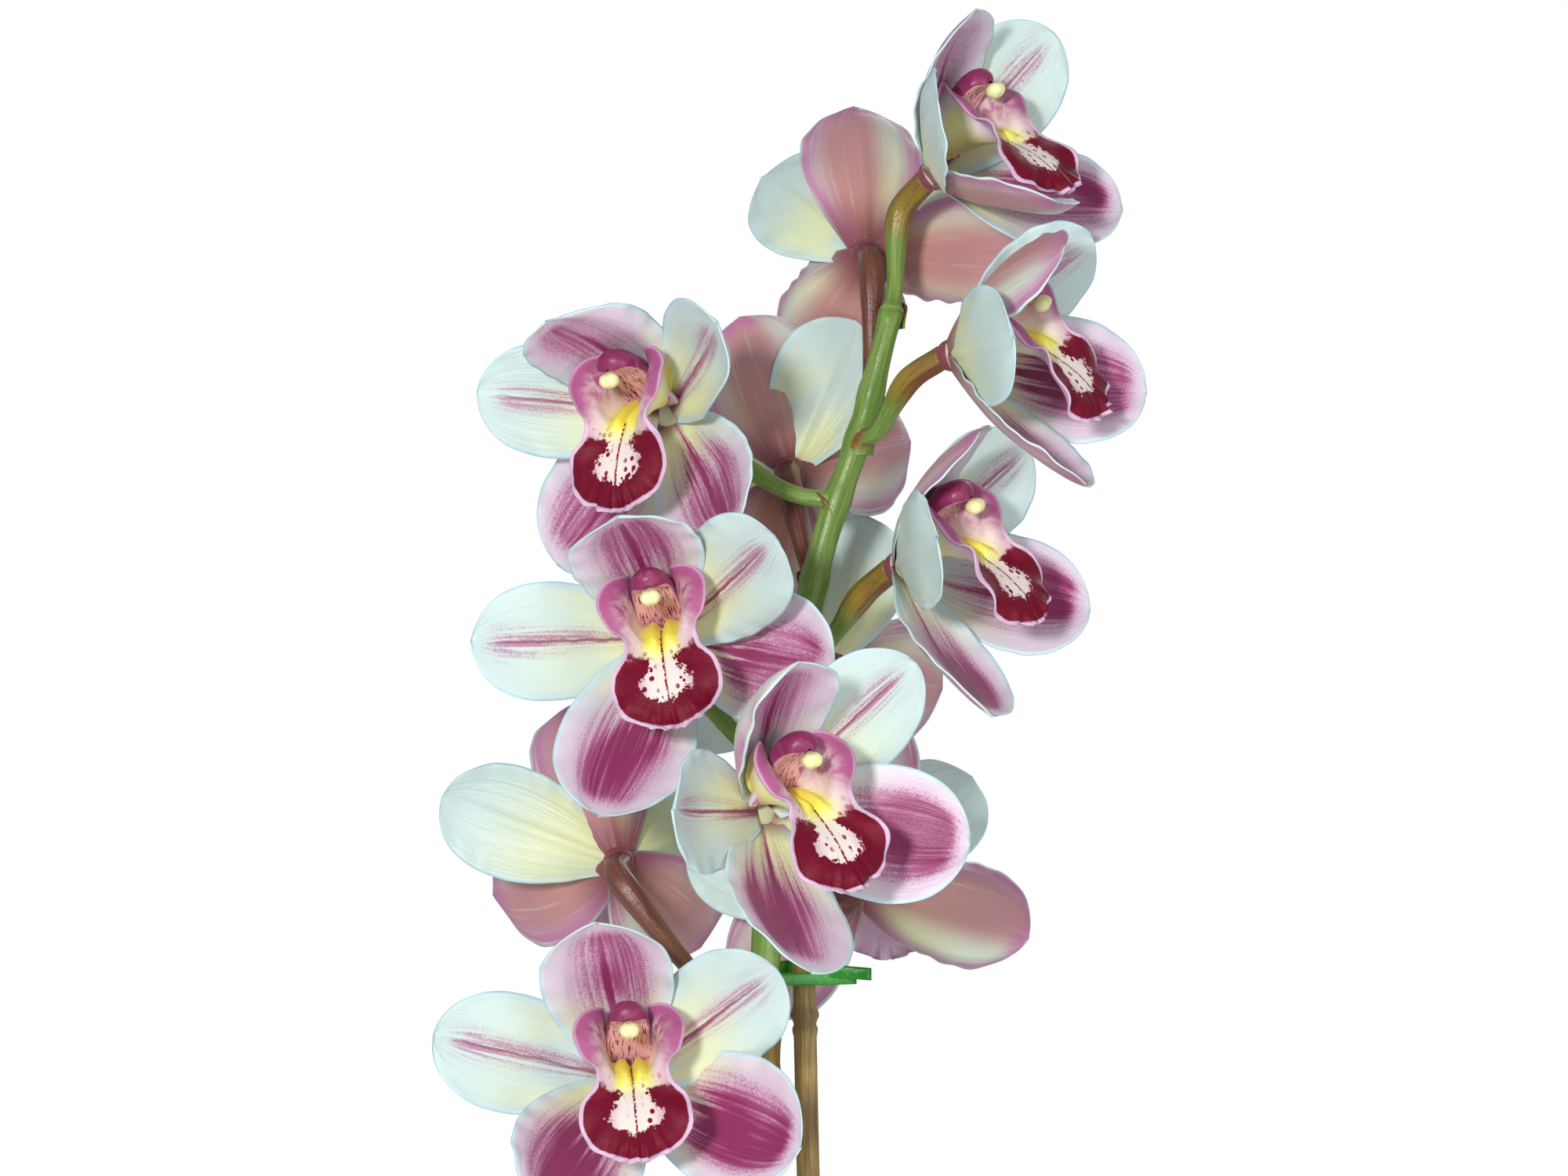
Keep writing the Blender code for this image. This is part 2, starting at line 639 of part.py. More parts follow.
def make_flowers(collection):
    tepal_white = new_material("tepal", (0.86, 0.66, 0.76), 0.42)
    lip_red = new_material("lip", (0.42, 0.02, 0.11), 0.45)
    column_rose = new_material("column", (0.62, 0.16, 0.33), 0.40)
    for index, flower in enumerate(FLOWERS, start=1):
        perianth(f"flower_{index:02d}_perianth", flower, collection, tepal_white)
        lip(f"flower_{index:02d}_lip", flower, collection, lip_red)
        column(f"flower_{index:02d}_column", flower, collection, column_rose)


def make_plant(collection):
    leaf_green = new_material("leaf", (0.10, 0.26, 0.05), 0.40)
    bulb_green = new_material("bulb", (0.22, 0.36, 0.09), 0.45)
    papery = new_material("sheath", (0.46, 0.42, 0.20), 0.70)
    flower_stem(collection, new_material("stem", (0.20, 0.34, 0.06), 0.40))
    for index, (_, radius, height) in enumerate(BULBS):
        name = f"pseudobulb_{index + 1}"
        bulb = new_object(name, bulb_mesh(name, radius, height), collection, bulb_green)
        bulb.location = bulb_centre(index)
    for index, (bulb, heading, length, rise) in enumerate(LEAVES, start=1):
        leaf(f"leaf_{index}", bulb, heading, length, rise, collection, leaf_green)
    for index, height in enumerate(SHEATHS, start=1):
        sheath(f"sheath_{index}", height, collection, papery)


def make_holder(collection, cutters):
    bamboo_stake(collection, new_material("bamboo", (0.62, 0.47, 0.24), 0.55))
    tie_green = new_material("tie_plastic", (0.02, 0.30, 0.06), 0.35)
    for index, height in enumerate(TIES, start=1):
        tie(f"tie_{index}", height, collection, tie_green)
    pot(collection, cutters, new_material("terracotta", (0.50, 0.21, 0.11), 0.80))
    potting_mix(collection, cutters, new_material("bark", (0.12, 0.07, 0.04), 0.90))


def main():
    for obj in list(bpy.data.objects):
        bpy.data.objects.remove(obj)
    orchid = new_collection("potted_orchid")
    cutters = new_collection("cutters", hidden=True)
    make_holder(orchid, cutters)
    make_plant(orchid)
    make_flowers(orchid)


main()
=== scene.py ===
"""The looks of the potted cymbidium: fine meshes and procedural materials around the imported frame.

Sizes are in metres unless a name ends in _MM or a comment says mm. Angles in the constants are in degrees
unless a comment says radians. Each flower has a frame of its own: seen from its front, x is to the right and
z is up, and the flower faces -y.
"""

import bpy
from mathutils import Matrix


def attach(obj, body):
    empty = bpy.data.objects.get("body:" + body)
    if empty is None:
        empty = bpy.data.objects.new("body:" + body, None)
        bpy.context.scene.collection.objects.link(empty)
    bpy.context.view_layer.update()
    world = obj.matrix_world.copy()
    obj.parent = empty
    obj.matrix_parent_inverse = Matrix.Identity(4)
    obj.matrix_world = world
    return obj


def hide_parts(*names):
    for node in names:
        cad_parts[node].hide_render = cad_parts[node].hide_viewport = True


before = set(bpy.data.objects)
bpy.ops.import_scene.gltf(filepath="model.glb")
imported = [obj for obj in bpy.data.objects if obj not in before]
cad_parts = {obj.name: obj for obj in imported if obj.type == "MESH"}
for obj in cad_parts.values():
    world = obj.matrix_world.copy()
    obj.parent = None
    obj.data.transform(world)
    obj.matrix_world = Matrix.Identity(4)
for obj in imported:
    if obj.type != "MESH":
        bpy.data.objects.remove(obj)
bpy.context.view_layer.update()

import math

import bpy
import numpy as np
from mathutils import Matrix, Vector

MM = 0.001
# The first random seed of each kind of piece, to which the piece's number is added.
TEPAL_SEED = 100
LIP_SEED = 300
COLUMN_SEED = 500
SHEATH_SEED = 700
LEAF_SEED = 900
MIX_SEED = 1100
# Each piece's texture is shifted by a random amount up to this.
TEXTURE_SHIFT = 90

# Flowers: centre, (yaw, pitch, roll), node height on the stalk, then the five tepals. A tepal is (angle from
# the flower's top, lift at its base, lift at its tip, length in mm).
FLOWERS = [
    ((0.0400, -0.002, 0.6705), (48, 24, 9), 0.634,
     (-9, 28, 78, 48), (-81, 34, 54, 50), (56, 25, 45, 51), (-151, 41, 66, 54), (128, 19, 46, 51)),
    ((0.0225, 0.020, 0.6510), (185, 0, 0), 0.612,
     (0, 10, 60, 52), (-76, 5, 25, 50), (46, 36, 56, 48), (-90, 3, 18, 48), (150, 38, 62, 45)),
    ((0.0440, -0.024, 0.6210), (64, 8, 30), 0.600,
     (-7, 35, 85, 50), (-65, 31, 51, 50), (74, 32, 52, 48), (-137, 29, 56, 54), (140, 31, 58, 55)),
    ((-0.0305, -0.012, 0.6065), (-27, -5, 8), 0.583,
     (-16, 34, 84, 52), (-74, 8, 28, 50), (62, 29, 49, 50), (-130, -12, 15, 52), (147, 16, 40, 46)),
    ((0.0015, 0.025, 0.5920), (180, 0, -30), 0.562,
     (-12, 0, 35, 46), (-53, -5, 18, 44), (76, 5, 25, 50), (-105, 35, 65, 53), (134, -6, 12, 44)),
    ((0.0305, -0.015, 0.5655), (53, 13, 16), 0.543,
     (-3, 32, 80, 49), (-76, 37, 57, 50), (69, 16, 36, 50), (-148, 19, 46, 55), (130, 21, 48, 53)),
    ((0.0120, 0.030, 0.5385), (180, 0, -30), 0.532,
     (-8, 26, 60, 40), (-45, -5, 25, 42), (76, 5, 25, 50), (-132, 35, 70, 53), (150, 28, 52, 46)),
    ((-0.0300, -0.028, 0.5470), (-4, 2, 12), 0.512,
     (-5, 30, 80, 52), (-80, 6, 26, 50), (63, 32, 52, 50), (-149, 14, 41, 53), (113, 8, 30, 46)),
    ((-0.0060, -0.054, 0.5030), (32, 9, 9), 0.497,
     (-6, 25, 75, 52), (-83, 24, 44, 50), (55, 13, 33, 53), (-158, 25, 52, 54), (115, 18, 45, 53)),
    ((0.0195, 0.022, 0.4795), (165, 0, 0), 0.482,
     (0, -5, 20, 48), (-43, 25, 50, 46), (80, -15, 0, 46), (-112, 24, 46, 53), (132, 8, 35, 53)),
    ((-0.0450, 0.018, 0.4855), (187, 0, 0), 0.440,
     (12, 10, 60, 52), (-75, 40, 65, 50), (70, 4, 22, 50), (-135, 35, 60, 53), (110, 38, 64, 51)),
    ((-0.0400, -0.030, 0.4320), (3, 12, 4), 0.428,
     (-10, 20, 70, 52), (-74, -1, 19, 51), (60, 20, 40, 50), (-142, 28, 55, 53), (119, 17, 44, 53)),
]
TEPAL_NAMES = ("dorsal", "left_petal", "right_petal", "left_sepal", "right_sepal")
# The tepals' widths, and how far each side of them is cupped.
WIDTH_MM = {"dorsal": 35, "left_petal": 31, "right_petal": 31, "left_sepal": 36, "right_sepal": 36}
CUP = {"dorsal": 30, "left_petal": 10, "right_petal": 10, "left_sepal": 22, "right_sepal": 22}
# A tepal's width at its base, as a share of its greatest, and where along it is widest.
TEPAL_BASE = 0.30
TEPAL_WIDEST = 0.58

# The column's middle line (forward, up) and its radius.
COLUMN_MM = [
    (5.4, 2.2, 3.0),
    (9.5, 5.0, 3.3),
    (15.0, 9.2, 3.9),
    (21.0, 12.6, 4.6),
    (26.0, 13.4, 4.2),
    (28.5, 12.2, 2.6),
]

# The stalk: places along it and its radius there.
STALK = [
    ((-0.0140, 0.000, 0.130), 0.0056),
    ((-0.0100, 0.000, 0.200), 0.0052),
    ((-0.0070, 0.000, 0.300), 0.0047),
    ((-0.0053, 0.000, 0.400), 0.0042),
    ((-0.0050, 0.000, 0.450), 0.0040),
    ((-0.0038, 0.000, 0.482), 0.0039),
    ((0.0000, 0.000, 0.516), 0.0038),
    ((0.0063, 0.000, 0.552), 0.0037),
    ((0.0116, 0.000, 0.575), 0.0036),
    ((0.0210, 0.000, 0.603), 0.0033),
    ((0.0288, 0.000, 0.634), 0.0029),
]
# The hub joins a flower's tepals. Its front half is flattened by this share.
HUB_RADIUS = 0.0043
HUB_FLATNESS = 0.5
# A flower's stalk (pedicel) bends through a low point and swells into the ovary behind the flower.
PEDICEL_RADIUS = 0.0023
OVARY_RADIUS = 0.0032
OVARY_BACK = 0.013
OVARY_DROP = 0.005
PEDICEL_BEND = 0.35
PEDICEL_SAG = 0.004
PEDICEL_REACH = 0.002
STEM_SIDES = 24

TEPAL_ROWS, TEPAL_COLUMNS = ((46, 33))
# A tepal starts this far from its flower's middle.
TEPAL_START = 0.002
# The steps in which the curves of tepals and leaves are added up.
TEPAL_STEPS = 160
LEAF_STEPS = 200
# The petals are the inner ring, so they lie this far in front of the sepals.
PETAL_AHEAD = 0.0015
# The dorsal sepal carries less of the sepals' blush.
DORSAL_BLUSH = 0.64
# Margins that roll back (negative) or fold forward: flower, tepal, side, turn and where it starts.
ROLLS = [
    (4, "dorsal", 1, -75, 0.45),
    (4, "dorsal", -1, -30, 0.55),
    (4, "right_petal", 1, 75, 0.25),
    (9, "dorsal", -1, 80, 0.35),
    (8, "dorsal", -1, -40, 0.60),
    (8, "right_petal", 1, -35, 0.50),
    (12, "right_petal", 1, -35, 0.45),
    (12, "dorsal", -1, -30, 0.60),
    (1, "left_petal", 1, 55, 0.30),
    (1, "left_sepal", -1, 45, 0.40),
    (3, "left_sepal", -1, 50, 0.40),
    (6, "left_sepal", -1, 50, 0.40),
    (6, "left_petal", 1, 45, 0.45),
    (2, "left_sepal", -1, 80, 0.25),
    (2, "right_sepal", -1, 75, 0.20),
    (10, "left_sepal", -1, 60, 0.30),
    (10, "left_sepal", 1, 60, 0.30),
]

LIP_ROWS, LIP_COLUMNS = ((84, 73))
# The lip: forward, up, half-width and curl in degrees, with tall side lobes and a full round mid-lobe.
LIP_MM = [
    (5.6, 2.0, 8.0, 58),
    (8.6, 1.8, 14.5, 80),
    (11.6, 1.4, 19.5, 92),
    (14.8, 0.8, 21.5, 96),
    (18.0, 0.0, 22.5, 92),
    (21.0, -1.2, 20.5, 84),
    (24.0, -3.0, 13.0, 62),
    (27.0, -5.8, 10.8, 40),
    (29.8, -9.2, 13.6, 20),
    (32.2, -13.0, 14.4, 2),
    (34.0, -17.0, 13.2, -12),
    (35.2, -20.8, 9.8, -20),
    (35.8, -24.2, 2.4, -20),
]
# How far the front of each side lobe turns outward.
LIP_FLARE = 76
LIP_LEAST_HALF_WIDTH_MM = 0.6

# How brown and maroon a flower's stalk is, from 0 to 1, where it is flushed.
FLUSH = {2: 0.85, 5: 0.95, 7: 0.6, 10: 0.9, 11: 0.8}

# The bamboo stake and its joints.
STAKE_RADIUS = 0.0030
STAKE_RINGS = 420
STAKE_SIDES = 28
STAKE_TOP = np.array((0.0045, 0.0060, 0.472))
STAKE_FOOT = np.array((0.0200, 0.0060, 0.030))
JOINT_SPACING = 0.095
TOP_TO_JOINT = 0.027
# A tube's end cone is this share of its radius high.
TUBE_END = 0.3

# The ties are thicker along their middle line than at their edges.
TIE_HEIGHTS = [0.4567, 0.3050]
TIE_HALF_WIDTH = 0.00165
TIE_EDGE = 0.0008
TIE_SWELL = 0.0003
TIE_ROWS, TIE_COLUMNS = 150, 7
# The bends of a tie's two free ends, across and back from where the loop starts.
TIE_TAIL = [(0.0160, -0.0040), (0.0080, -0.0026)]
TIE_OTHER_TAIL = [(0.0050, -0.0016), (0.0120, 0.0010)]

# The papery sheaths on the lower stalk, and the green scale leaves at its nodes.
SHEATH_HEIGHTS = [0.195, 0.250, 0.315]
SHEATH_LENGTH = 0.040
SHEATH_THICKNESS = 0.0005
# How far round the stalk a sheath reaches to each side.
SHEATH_WRAP = 188
SCALE_HALF_THICKNESS = 0.0003

# The top of the potting mix, and how deep the bulbs stand in it.
MIX_LEVEL = 0.147
BULB_DEPTH = 0.014
# Bulbs: place on the mix, radius and height.
BULBS = [
    ((0.046, 0.034), 0.021, 0.074),
    ((-0.050, 0.012), 0.022, 0.080),
    ((0.014, -0.044), 0.019, 0.066),
    ((-0.020, 0.054), 0.020, 0.070),
]
BULB_ROWS, BULB_SIDES = 60, 72
# The rings left by old leaves over a bulb's height.
BULB_RINGS = 4.6
# Leaves: bulb, heading, length and the slope at the base.
LEAVES = [
    (0, 12, 0.300, 78),
    (0, 62, 0.285, 70),
    (0, -32, 0.275, 66),
    (1, 168, 0.310, 80),
    (1, 214, 0.290, 70),
    (2, 300, 0.285, 76),
    (2, 250, 0.270, 68),
    (3, 92, 0.300, 78),
    (3, 136, 0.280, 68),
]
LEAF_WIDTH = 0.026
LEAF_ROWS, LEAF_COLUMNS = 90, 23
# How far a leaf bends down from its base to its tip.
LEAF_DROOP = 112
# A leaf starts this far out from its bulb's axis and this far below its top.
LEAF_OFFSET = 0.0105
LEAF_DROP = 0.0030

# The clay pot, its drain holes and the mix in it.
POT_HEIGHT = 0.165
POT_RIM_RADIUS = 0.098
POT_BASE_RADIUS = 0.070
POT_WALL = 0.005
POT_FLOOR = 0.006
RIM_HEIGHT = 0.028
# The rim stands out by its step, and its foot slants in.
RIM_STEP = 0.003
RIM_SLANT = 0.002
EDGE_ROUNDING = 0.0022
POT_SIDES = 128
POT_RING_SPACING = 0.006
# A turned profile stops this short of its axis.
AXIS_GAP = 0.0002
DRAIN_RADIUS = 0.006
DRAIN_RING = 0.042
DRAIN_COUNT = 5
DRAIN_SIDES = 32
DRILL_AXIS_GAP = 0.00005
DRILL_ENDS = (-0.01, 0.02)
# The solid body of the mix ends this far below its chips' top, and keeps this gap to the pot.
CHIP_LAYER = 0.004
MIX_GAP = 0.0006
MIX_AXIS_GAP = 0.0005
MIX_SIDES = 64
CHIPS = 900
CHIP_MARGIN = 0.007
# The spread, in radians, of how far a chip is tipped off the level.
CHIP_TILT = 0.35
CHIP_ROWS, CHIP_SIDES = 7, 10

# The camera looks along +y, and its frame is this wide at the stalk.
CAMERA = (0.0, -1.10, 0.560)
FRAME_WIDTH = 0.42
SENSOR_MM = 36
FLOOR_RINGS = [0.001, 0.6, 2.2]
FLOOR_SIDES = 96
FLOOR_LEVEL = -0.0004
GLOW_COLOUR = (0.88, 0.95, 1.0, 1)
GLOW_STRENGTH = 0.34
# Lights: name, place, what it points at, size and power in watts.
LIGHTS = [
    ("key", (-0.34, -1.34, 0.74), (0, 0, 0.54), 0.14, 12.4),
    ("fill", (0.85, -1.25, 0.50), (0, 0, 0.50), 0.8, 5.6),
    ("back", (0.5, 1.5, 1.3), (0, 0, 0.45), 1.0, 9),
]


# Meshes ---------------------------------------------------------------------------------------------------

class Shape:
    """Points, faces and per-point marks gathered from several surfaces, made into one object at the end."""

    def __init__(self, *marks):
        self.points = []
        self.faces = []
        self.marks = {mark: [] for mark in marks}
        self.count = 0

    def add(self, points, faces, **marks):
        """Adds a surface. A mark that isn't given is 0 on it, and one number stands for all of its points."""
        points = np.asarray(points, float).reshape(-1, 3)
        self.points.append(points)
        self.faces.append(np.asarray(faces, int) + self.count)
        for mark, values in self.marks.items():
            values.append(np.broadcast_to(np.asarray(marks.get(mark, 0.0), float).ravel(), (len(points),)))
        self.count += len(points)

    def move(self, matrix, scale=1.0):
        """Scales what has been added and carries it by a 4 x 4 matrix."""
        matrix = np.array(matrix)
        self.points = [(points * scale) @ matrix[:3, :3].T + matrix[:3, 3] for points in self.points]

    def build(self, name, material=None):
        """Makes the object, with smooth shading and the marks as attributes that its material can read."""
        points = np.vstack(self.points)
        faces = np.vstack(self.faces)
        mesh = bpy.data.meshes.new(name)
        mesh.vertices.add(len(points))
        mesh.vertices.foreach_set("co", points.astype(np.float32).ravel())
        mesh.loops.add(faces.size)
        mesh.loops.foreach_set("vertex_index", faces.astype(np.int32).ravel())
        mesh.polygons.add(len(faces))
        mesh.polygons.foreach_set("loop_start", np.arange(0, faces.size, 4, dtype=np.int32))
        mesh.update(calc_edges=True)
        for mark, values in self.marks.items():
            layer = mesh.attributes.new(mark, "FLOAT", "POINT")
            layer.data.foreach_set("value", np.concatenate(values).astype(np.float32))
        if material:
            mesh.materials.append(material)
        mesh.shade_smooth()
        obj = bpy.data.objects.new(name, mesh)
        bpy.context.scene.collection.objects.link(obj)
        return obj


def grid_faces(rows, columns, wrap=False):
    """Quads over a grid of points in row order; with wrap, the last column joins the first."""
    i, j = np.meshgrid(np.arange(rows - 1), np.arange(columns if wrap else columns - 1), indexing="ij")
    k = (j + 1) % columns
    corners = [i * columns + j, i * columns + k, (i + 1) * columns + k, (i + 1) * columns + j]
    return np.stack(corners, -1).reshape(-1, 4)


def surface_normals(grid):
    """A unit normal at each point of a grid."""
    along = np.gradient(grid, axis=0)
    across = np.gradient(grid, axis=1)
    normal = np.cross(along, across)
    return normal / np.maximum(np.linalg.norm(normal, axis=2), 1e-12)[..., None]


def ringed(front, back):
    """The two sides of a sheet as one grid, whose columns run across the front and return across the back."""
    return np.concatenate([front, back[:, ::-1]], axis=1)


def add_sheet(shape, grid, normal, thickness, marks):
    """Both sides of a thin sheet, joined round its margin. The mark 'front' is 1 on the normal's side."""
    rows, columns = grid.shape[:2]
    half = np.broadcast_to(thickness, (rows, columns))[..., None] / 2
    ring = ringed(grid + normal * half, grid - normal * half)
    faces = grid_faces(rows, 2 * columns, wrap=True)
    ends = []
    for row, flip in ((0, False), (rows - 1, True)):
        start = row * 2 * columns
        for j in range(columns - 1):
            quad = [start + j, start + 2 * columns - 1 - j, start + 2 * columns - 2 - j, start + j + 1]
            ends.append(quad[::-1] if flip else quad)
    doubled = {"front": ringed(np.ones((rows, columns)), np.zeros((rows, columns)))}
    for name, values in marks.items():
        values = np.broadcast_to(values, (rows, columns))
        doubled[name] = ringed(values, values)
    shape.add(ring, np.vstack([faces, ends]), **doubled)


def walked(heading, length):
    """The places along a path of this length that takes these headings at even steps."""
    steps = (heading[1:] + heading[:-1]) / 2 / (len(heading) - 1) * length
    return np.concatenate([np.zeros_like(heading[:1]), np.cumsum(steps, axis=0)])


def unrolled(bend, step):
    """How far aside and how high each point of a sheet lies from its row's middle, by its slopes across."""
    placed = []
    for slope in (np.cos(bend), np.sin(bend)):
        reached = np.cumsum((slope[:, 1:] + slope[:, :-1]) / 2 * step, axis=1)
        reached = np.concatenate([np.zeros((len(bend), 1)), reached], axis=1)
        placed.append(reached - reached[:, bend.shape[1] // 2, None])
    return placed


def midline(stations):
    """The middle of a lip or column, from stations that start with forward and up, and its upward side."""
    nothing = np.zeros(len(stations))
    middle = np.stack([nothing, -stations[:, 0], stations[:, 1]], axis=1)
    slope = np.gradient(middle, axis=0)
    slope /= np.linalg.norm(slope, axis=1)[:, None]
    return middle, np.stack([nothing, slope[:, 2], -slope[:, 1]], axis=1)


def smoothstep(share):
    """0 up to 0, 1 from 1 on and smooth between."""
    share = np.clip(share, 0, 1)
    return share * share * (3 - 2 * share)


def bump(value, centre, width):
    """A bell of height 1 about a centre."""
    return np.exp(-((value - centre) / width) ** 2)


def waves(along, across, rng, count=5, low=0.6, high=2.4):
    """A smooth random field over a surface, about -1 to 1."""
    total = np.zeros(np.broadcast(along, across).shape)
    for _ in range(count):
        a, b = rng.uniform(low, high, 2) * rng.choice((-1, 1), 2)
        total = total + np.sin(2 * math.pi * (a * along + 0.5 * b * across) + rng.uniform(0, 2 * math.pi))
    return total / count


def spline(stations, places):
    """Smooth values at places from 0 to 1 through evenly spaced stations (Catmull-Rom)."""
    stations = np.asarray(stations, float)
    ends = np.vstack([2 * stations[:1] - stations[1:2], stations, 2 * stations[-1:] - stations[-2:-1]])
    at = np.clip(places, 0, 1) * (len(stations) - 1)
    i = np.minimum(at.astype(int), len(stations) - 2)
    t = (at - i)[:, None]
    p0, p1, p2, p3 = ends[i], ends[i + 1], ends[i + 2], ends[i + 3]
    return 0.5 * (2 * p1 + (p2 - p0) * t + (2 * p0 - 5 * p1 + 4 * p2 - p3) * t ** 2
                  + (3 * p1 - p0 - 3 * p2 + p3) * t ** 3)


def add_tube(shape, route, radii, marks):
    """A bar along a route, with a radius for each point of each ring and a low cone at each end.

    The mark 'around' runs from 0 to 1 round the bar. The others have one value for each ring.
    """
    tangent = np.gradient(route, axis=0)
    tangent /= np.linalg.norm(tangent, axis=1)[:, None]
    side = np.cross(tangent[0], (0.0, 1.0, 0.0))
    if np.linalg.norm(side) < 0.1:
        side = np.cross(tangent[0], (1.0, 0.0, 0.0))
    frames = []
    for direction in tangent:
        side = side - direction * side.dot(direction)
        side /= np.linalg.norm(side)
        frames.append((side, np.cross(direction, side)))
    sides = radii.shape[1]
    angle = np.linspace(0, 2 * math.pi, sides, endpoint=False)
    circle = np.stack([np.cos(angle), np.sin(angle)], axis=1)
    rings = route[:, None] + radii[..., None] * np.einsum("sk,rkc->rsc", circle, np.array(frames))
    low = np.repeat(route[:1] - tangent[:1] * radii[0].mean() * TUBE_END, sides, axis=0)[None]
    high = np.repeat(route[-1:] + tangent[-1:] * radii[-1].mean() * TUBE_END, sides, axis=0)[None]
    rings = np.concatenate([low, rings, high])
    given = {"around": np.repeat(angle[None] / (2 * math.pi), len(rings), axis=0)}
    for name, values in marks.items():
        given[name] = np.repeat(np.concatenate([values[:1], values, values[-1:]])[:, None], sides, axis=1)
    shape.add(rings, grid_faces(len(rings), sides, wrap=True)[:, ::-1], **given)


def finished(obj, slot, *nodes):
    """Hangs a piece on the plant's one body and hides the CAD nodes that it stands for."""
    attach(obj, "root")
    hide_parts(*nodes)


# Materials ------------------------------------------------------------------------------------------------

def srgb(red, green, blue):
    """A colour picked on a screen, 0 to 255, as the linear values that a shader takes."""
    linear = [(value / 255 + 0.055) / 1.055 for value in (red, green, blue)]
    return tuple(value ** 2.4 for value in linear) + (1.0,)


class Recipe:
    """A material written as sums and mixes of its nodes. A value may be a number, a colour or a socket."""

    def __init__(self, name, roughness=0.5, soft=0.0, sheen=0.0, gloss=0.5):
        self.material = bpy.data.materials.new(name)
        self.material.use_nodes = True
        self.tree = self.material.node_tree
        self.shader = self.tree.nodes["Principled BSDF"]
        self.feed(self.shader.inputs["Roughness"], roughness)
        self.feed(self.shader.inputs["Subsurface Weight"], soft)
        self.feed(self.shader.inputs["Subsurface Scale"], 0.001)
        self.feed(self.shader.inputs["Subsurface Radius"], (1.0, 0.7, 0.6))
        self.feed(self.shader.inputs["Sheen Weight"], sheen)
        self.feed(self.shader.inputs["Specular IOR Level"], gloss)

    def feed(self, socket, value):
        """Links a socket to an input, or sets the input to a plain value."""
        if isinstance(value, bpy.types.NodeSocket):
            self.tree.links.new(value, socket)
        else:
            socket.default_value = value

    def node(self, kind, **settings):
        node = self.tree.nodes.new("ShaderNode" + kind)
        for name, value in settings.items():
            setattr(node, name, value)
        return node

    def mark(self, name):
        """A per-point mark of the mesh."""
        return self.node("Attribute", attribute_name=name).outputs["Fac"]

    def calculate(self, operation, *values):
        node = self.node("Math", operation=operation)
        for socket, value in zip(node.inputs, values):
            self.feed(socket, value)
        return node.outputs[0]

    def add(self, one, other):
        return self.calculate("ADD", one, other)

    def times(self, *values):
        total = values[0]
        for value in values[1:]:
            total = self.calculate("MULTIPLY", total, value)
        return total

    def apart(self, value):
        """How far a value is from 0, either way."""
        return self.calculate("ABSOLUTE", value)

    def rise(self, value, low, high):
        """0 at low, 1 at high and smooth between, whichever of the two is the larger."""
        node = self.node("MapRange", interpolation_type="SMOOTHSTEP")
        for name, given in (("Value", value), ("From Min", low), ("From Max", high)):
            self.feed(node.inputs[name], given)
        return node.outputs["Result"]

    def place(self, x, y=0.0, z=0.0):
        node = self.node("CombineXYZ")
        for socket, value in zip(node.inputs, (x, y, z)):
            self.feed(socket, value)
        return node.outputs[0]

    def wrapped(self, around, reach, height):
        """A place for a texture that goes round a bar without a seam, on a circle of this reach."""
        turn = self.times(around, 2 * math.pi)
        x = self.times(self.calculate("SINE", turn), reach)
        y = self.times(self.calculate("COSINE", turn), reach)
        return self.place(x, y, height)

    def noise(self, scale, where=None, detail=3.0, roughness=0.55):
        node = self.node("TexNoise")
        self.feed(node.inputs["Vector"], self.here() if where is None else where)
        self.feed(node.inputs["Scale"], scale)
        self.feed(node.inputs["Detail"], detail)
        self.feed(node.inputs["Roughness"], roughness)
        return node.outputs[0]

    def cells(self, scale, where=None):
        """The distance to the middle of the nearest of many scattered cells."""
        node = self.node("TexVoronoi")
        self.feed(node.inputs["Vector"], self.here() if where is None else where)
        self.feed(node.inputs["Scale"], scale)
        return node.outputs["Distance"]

    def here(self):
        return self.node("TexCoord").outputs["Object"]

    def mix(self, share, one, other):
        node = self.node("Mix", data_type="RGBA")
        self.feed(node.inputs[0], share)
        self.feed(node.inputs[6], one)
        self.feed(node.inputs[7], other)
        return node.outputs[2]

    def stipple(self, density, where, scale):
        """Fine dots that cover about the given share of the surface."""
        grain = self.noise(scale, where, detail=2.0, roughness=0.6)
        level = self.add(0.74, self.times(density, -0.48))
        return self.rise(self.calculate("SUBTRACT", grain, level), -0.05, 0.07)

    def bump(self, height, distance):
        node = self.node("Bump")
        self.feed(node.inputs["Height"], height)
        self.feed(node.inputs["Distance"], distance)
        self.feed(self.shader.inputs["Normal"], node.outputs["Normal"])

    def colour(self, value):
        self.feed(self.shader.inputs["Base Color"], value)
        return self.material


PETAL_WHITE = srgb(206, 226, 222)
MARGIN_WHITE = srgb(204, 232, 236)
CREAM = srgb(234, 238, 184)
LILAC_WHITE = srgb(226, 208, 224)
BLUSH = srgb(176, 72, 132)
DEEP_BLUSH = srgb(134, 26, 82)
CRIMSON = srgb(132, 20, 62)
MAROON = srgb(134, 0, 42)
DARK_MAROON = srgb(92, 0, 30)
LILAC = srgb(224, 190, 216)
MAUVE = srgb(176, 92, 138)
HOOD = srgb(138, 40, 86)
LEMON = srgb(255, 240, 96)
PALE_LEMON = srgb(246, 244, 168)
LIP_WHITE = srgb(250, 234, 226)
PEACH = srgb(246, 200, 196)
SALMON_BACK = srgb(196, 108, 124)
PURPLE_BACK = srgb(198, 116, 170)
RED_BROWN = srgb(120, 46, 44)


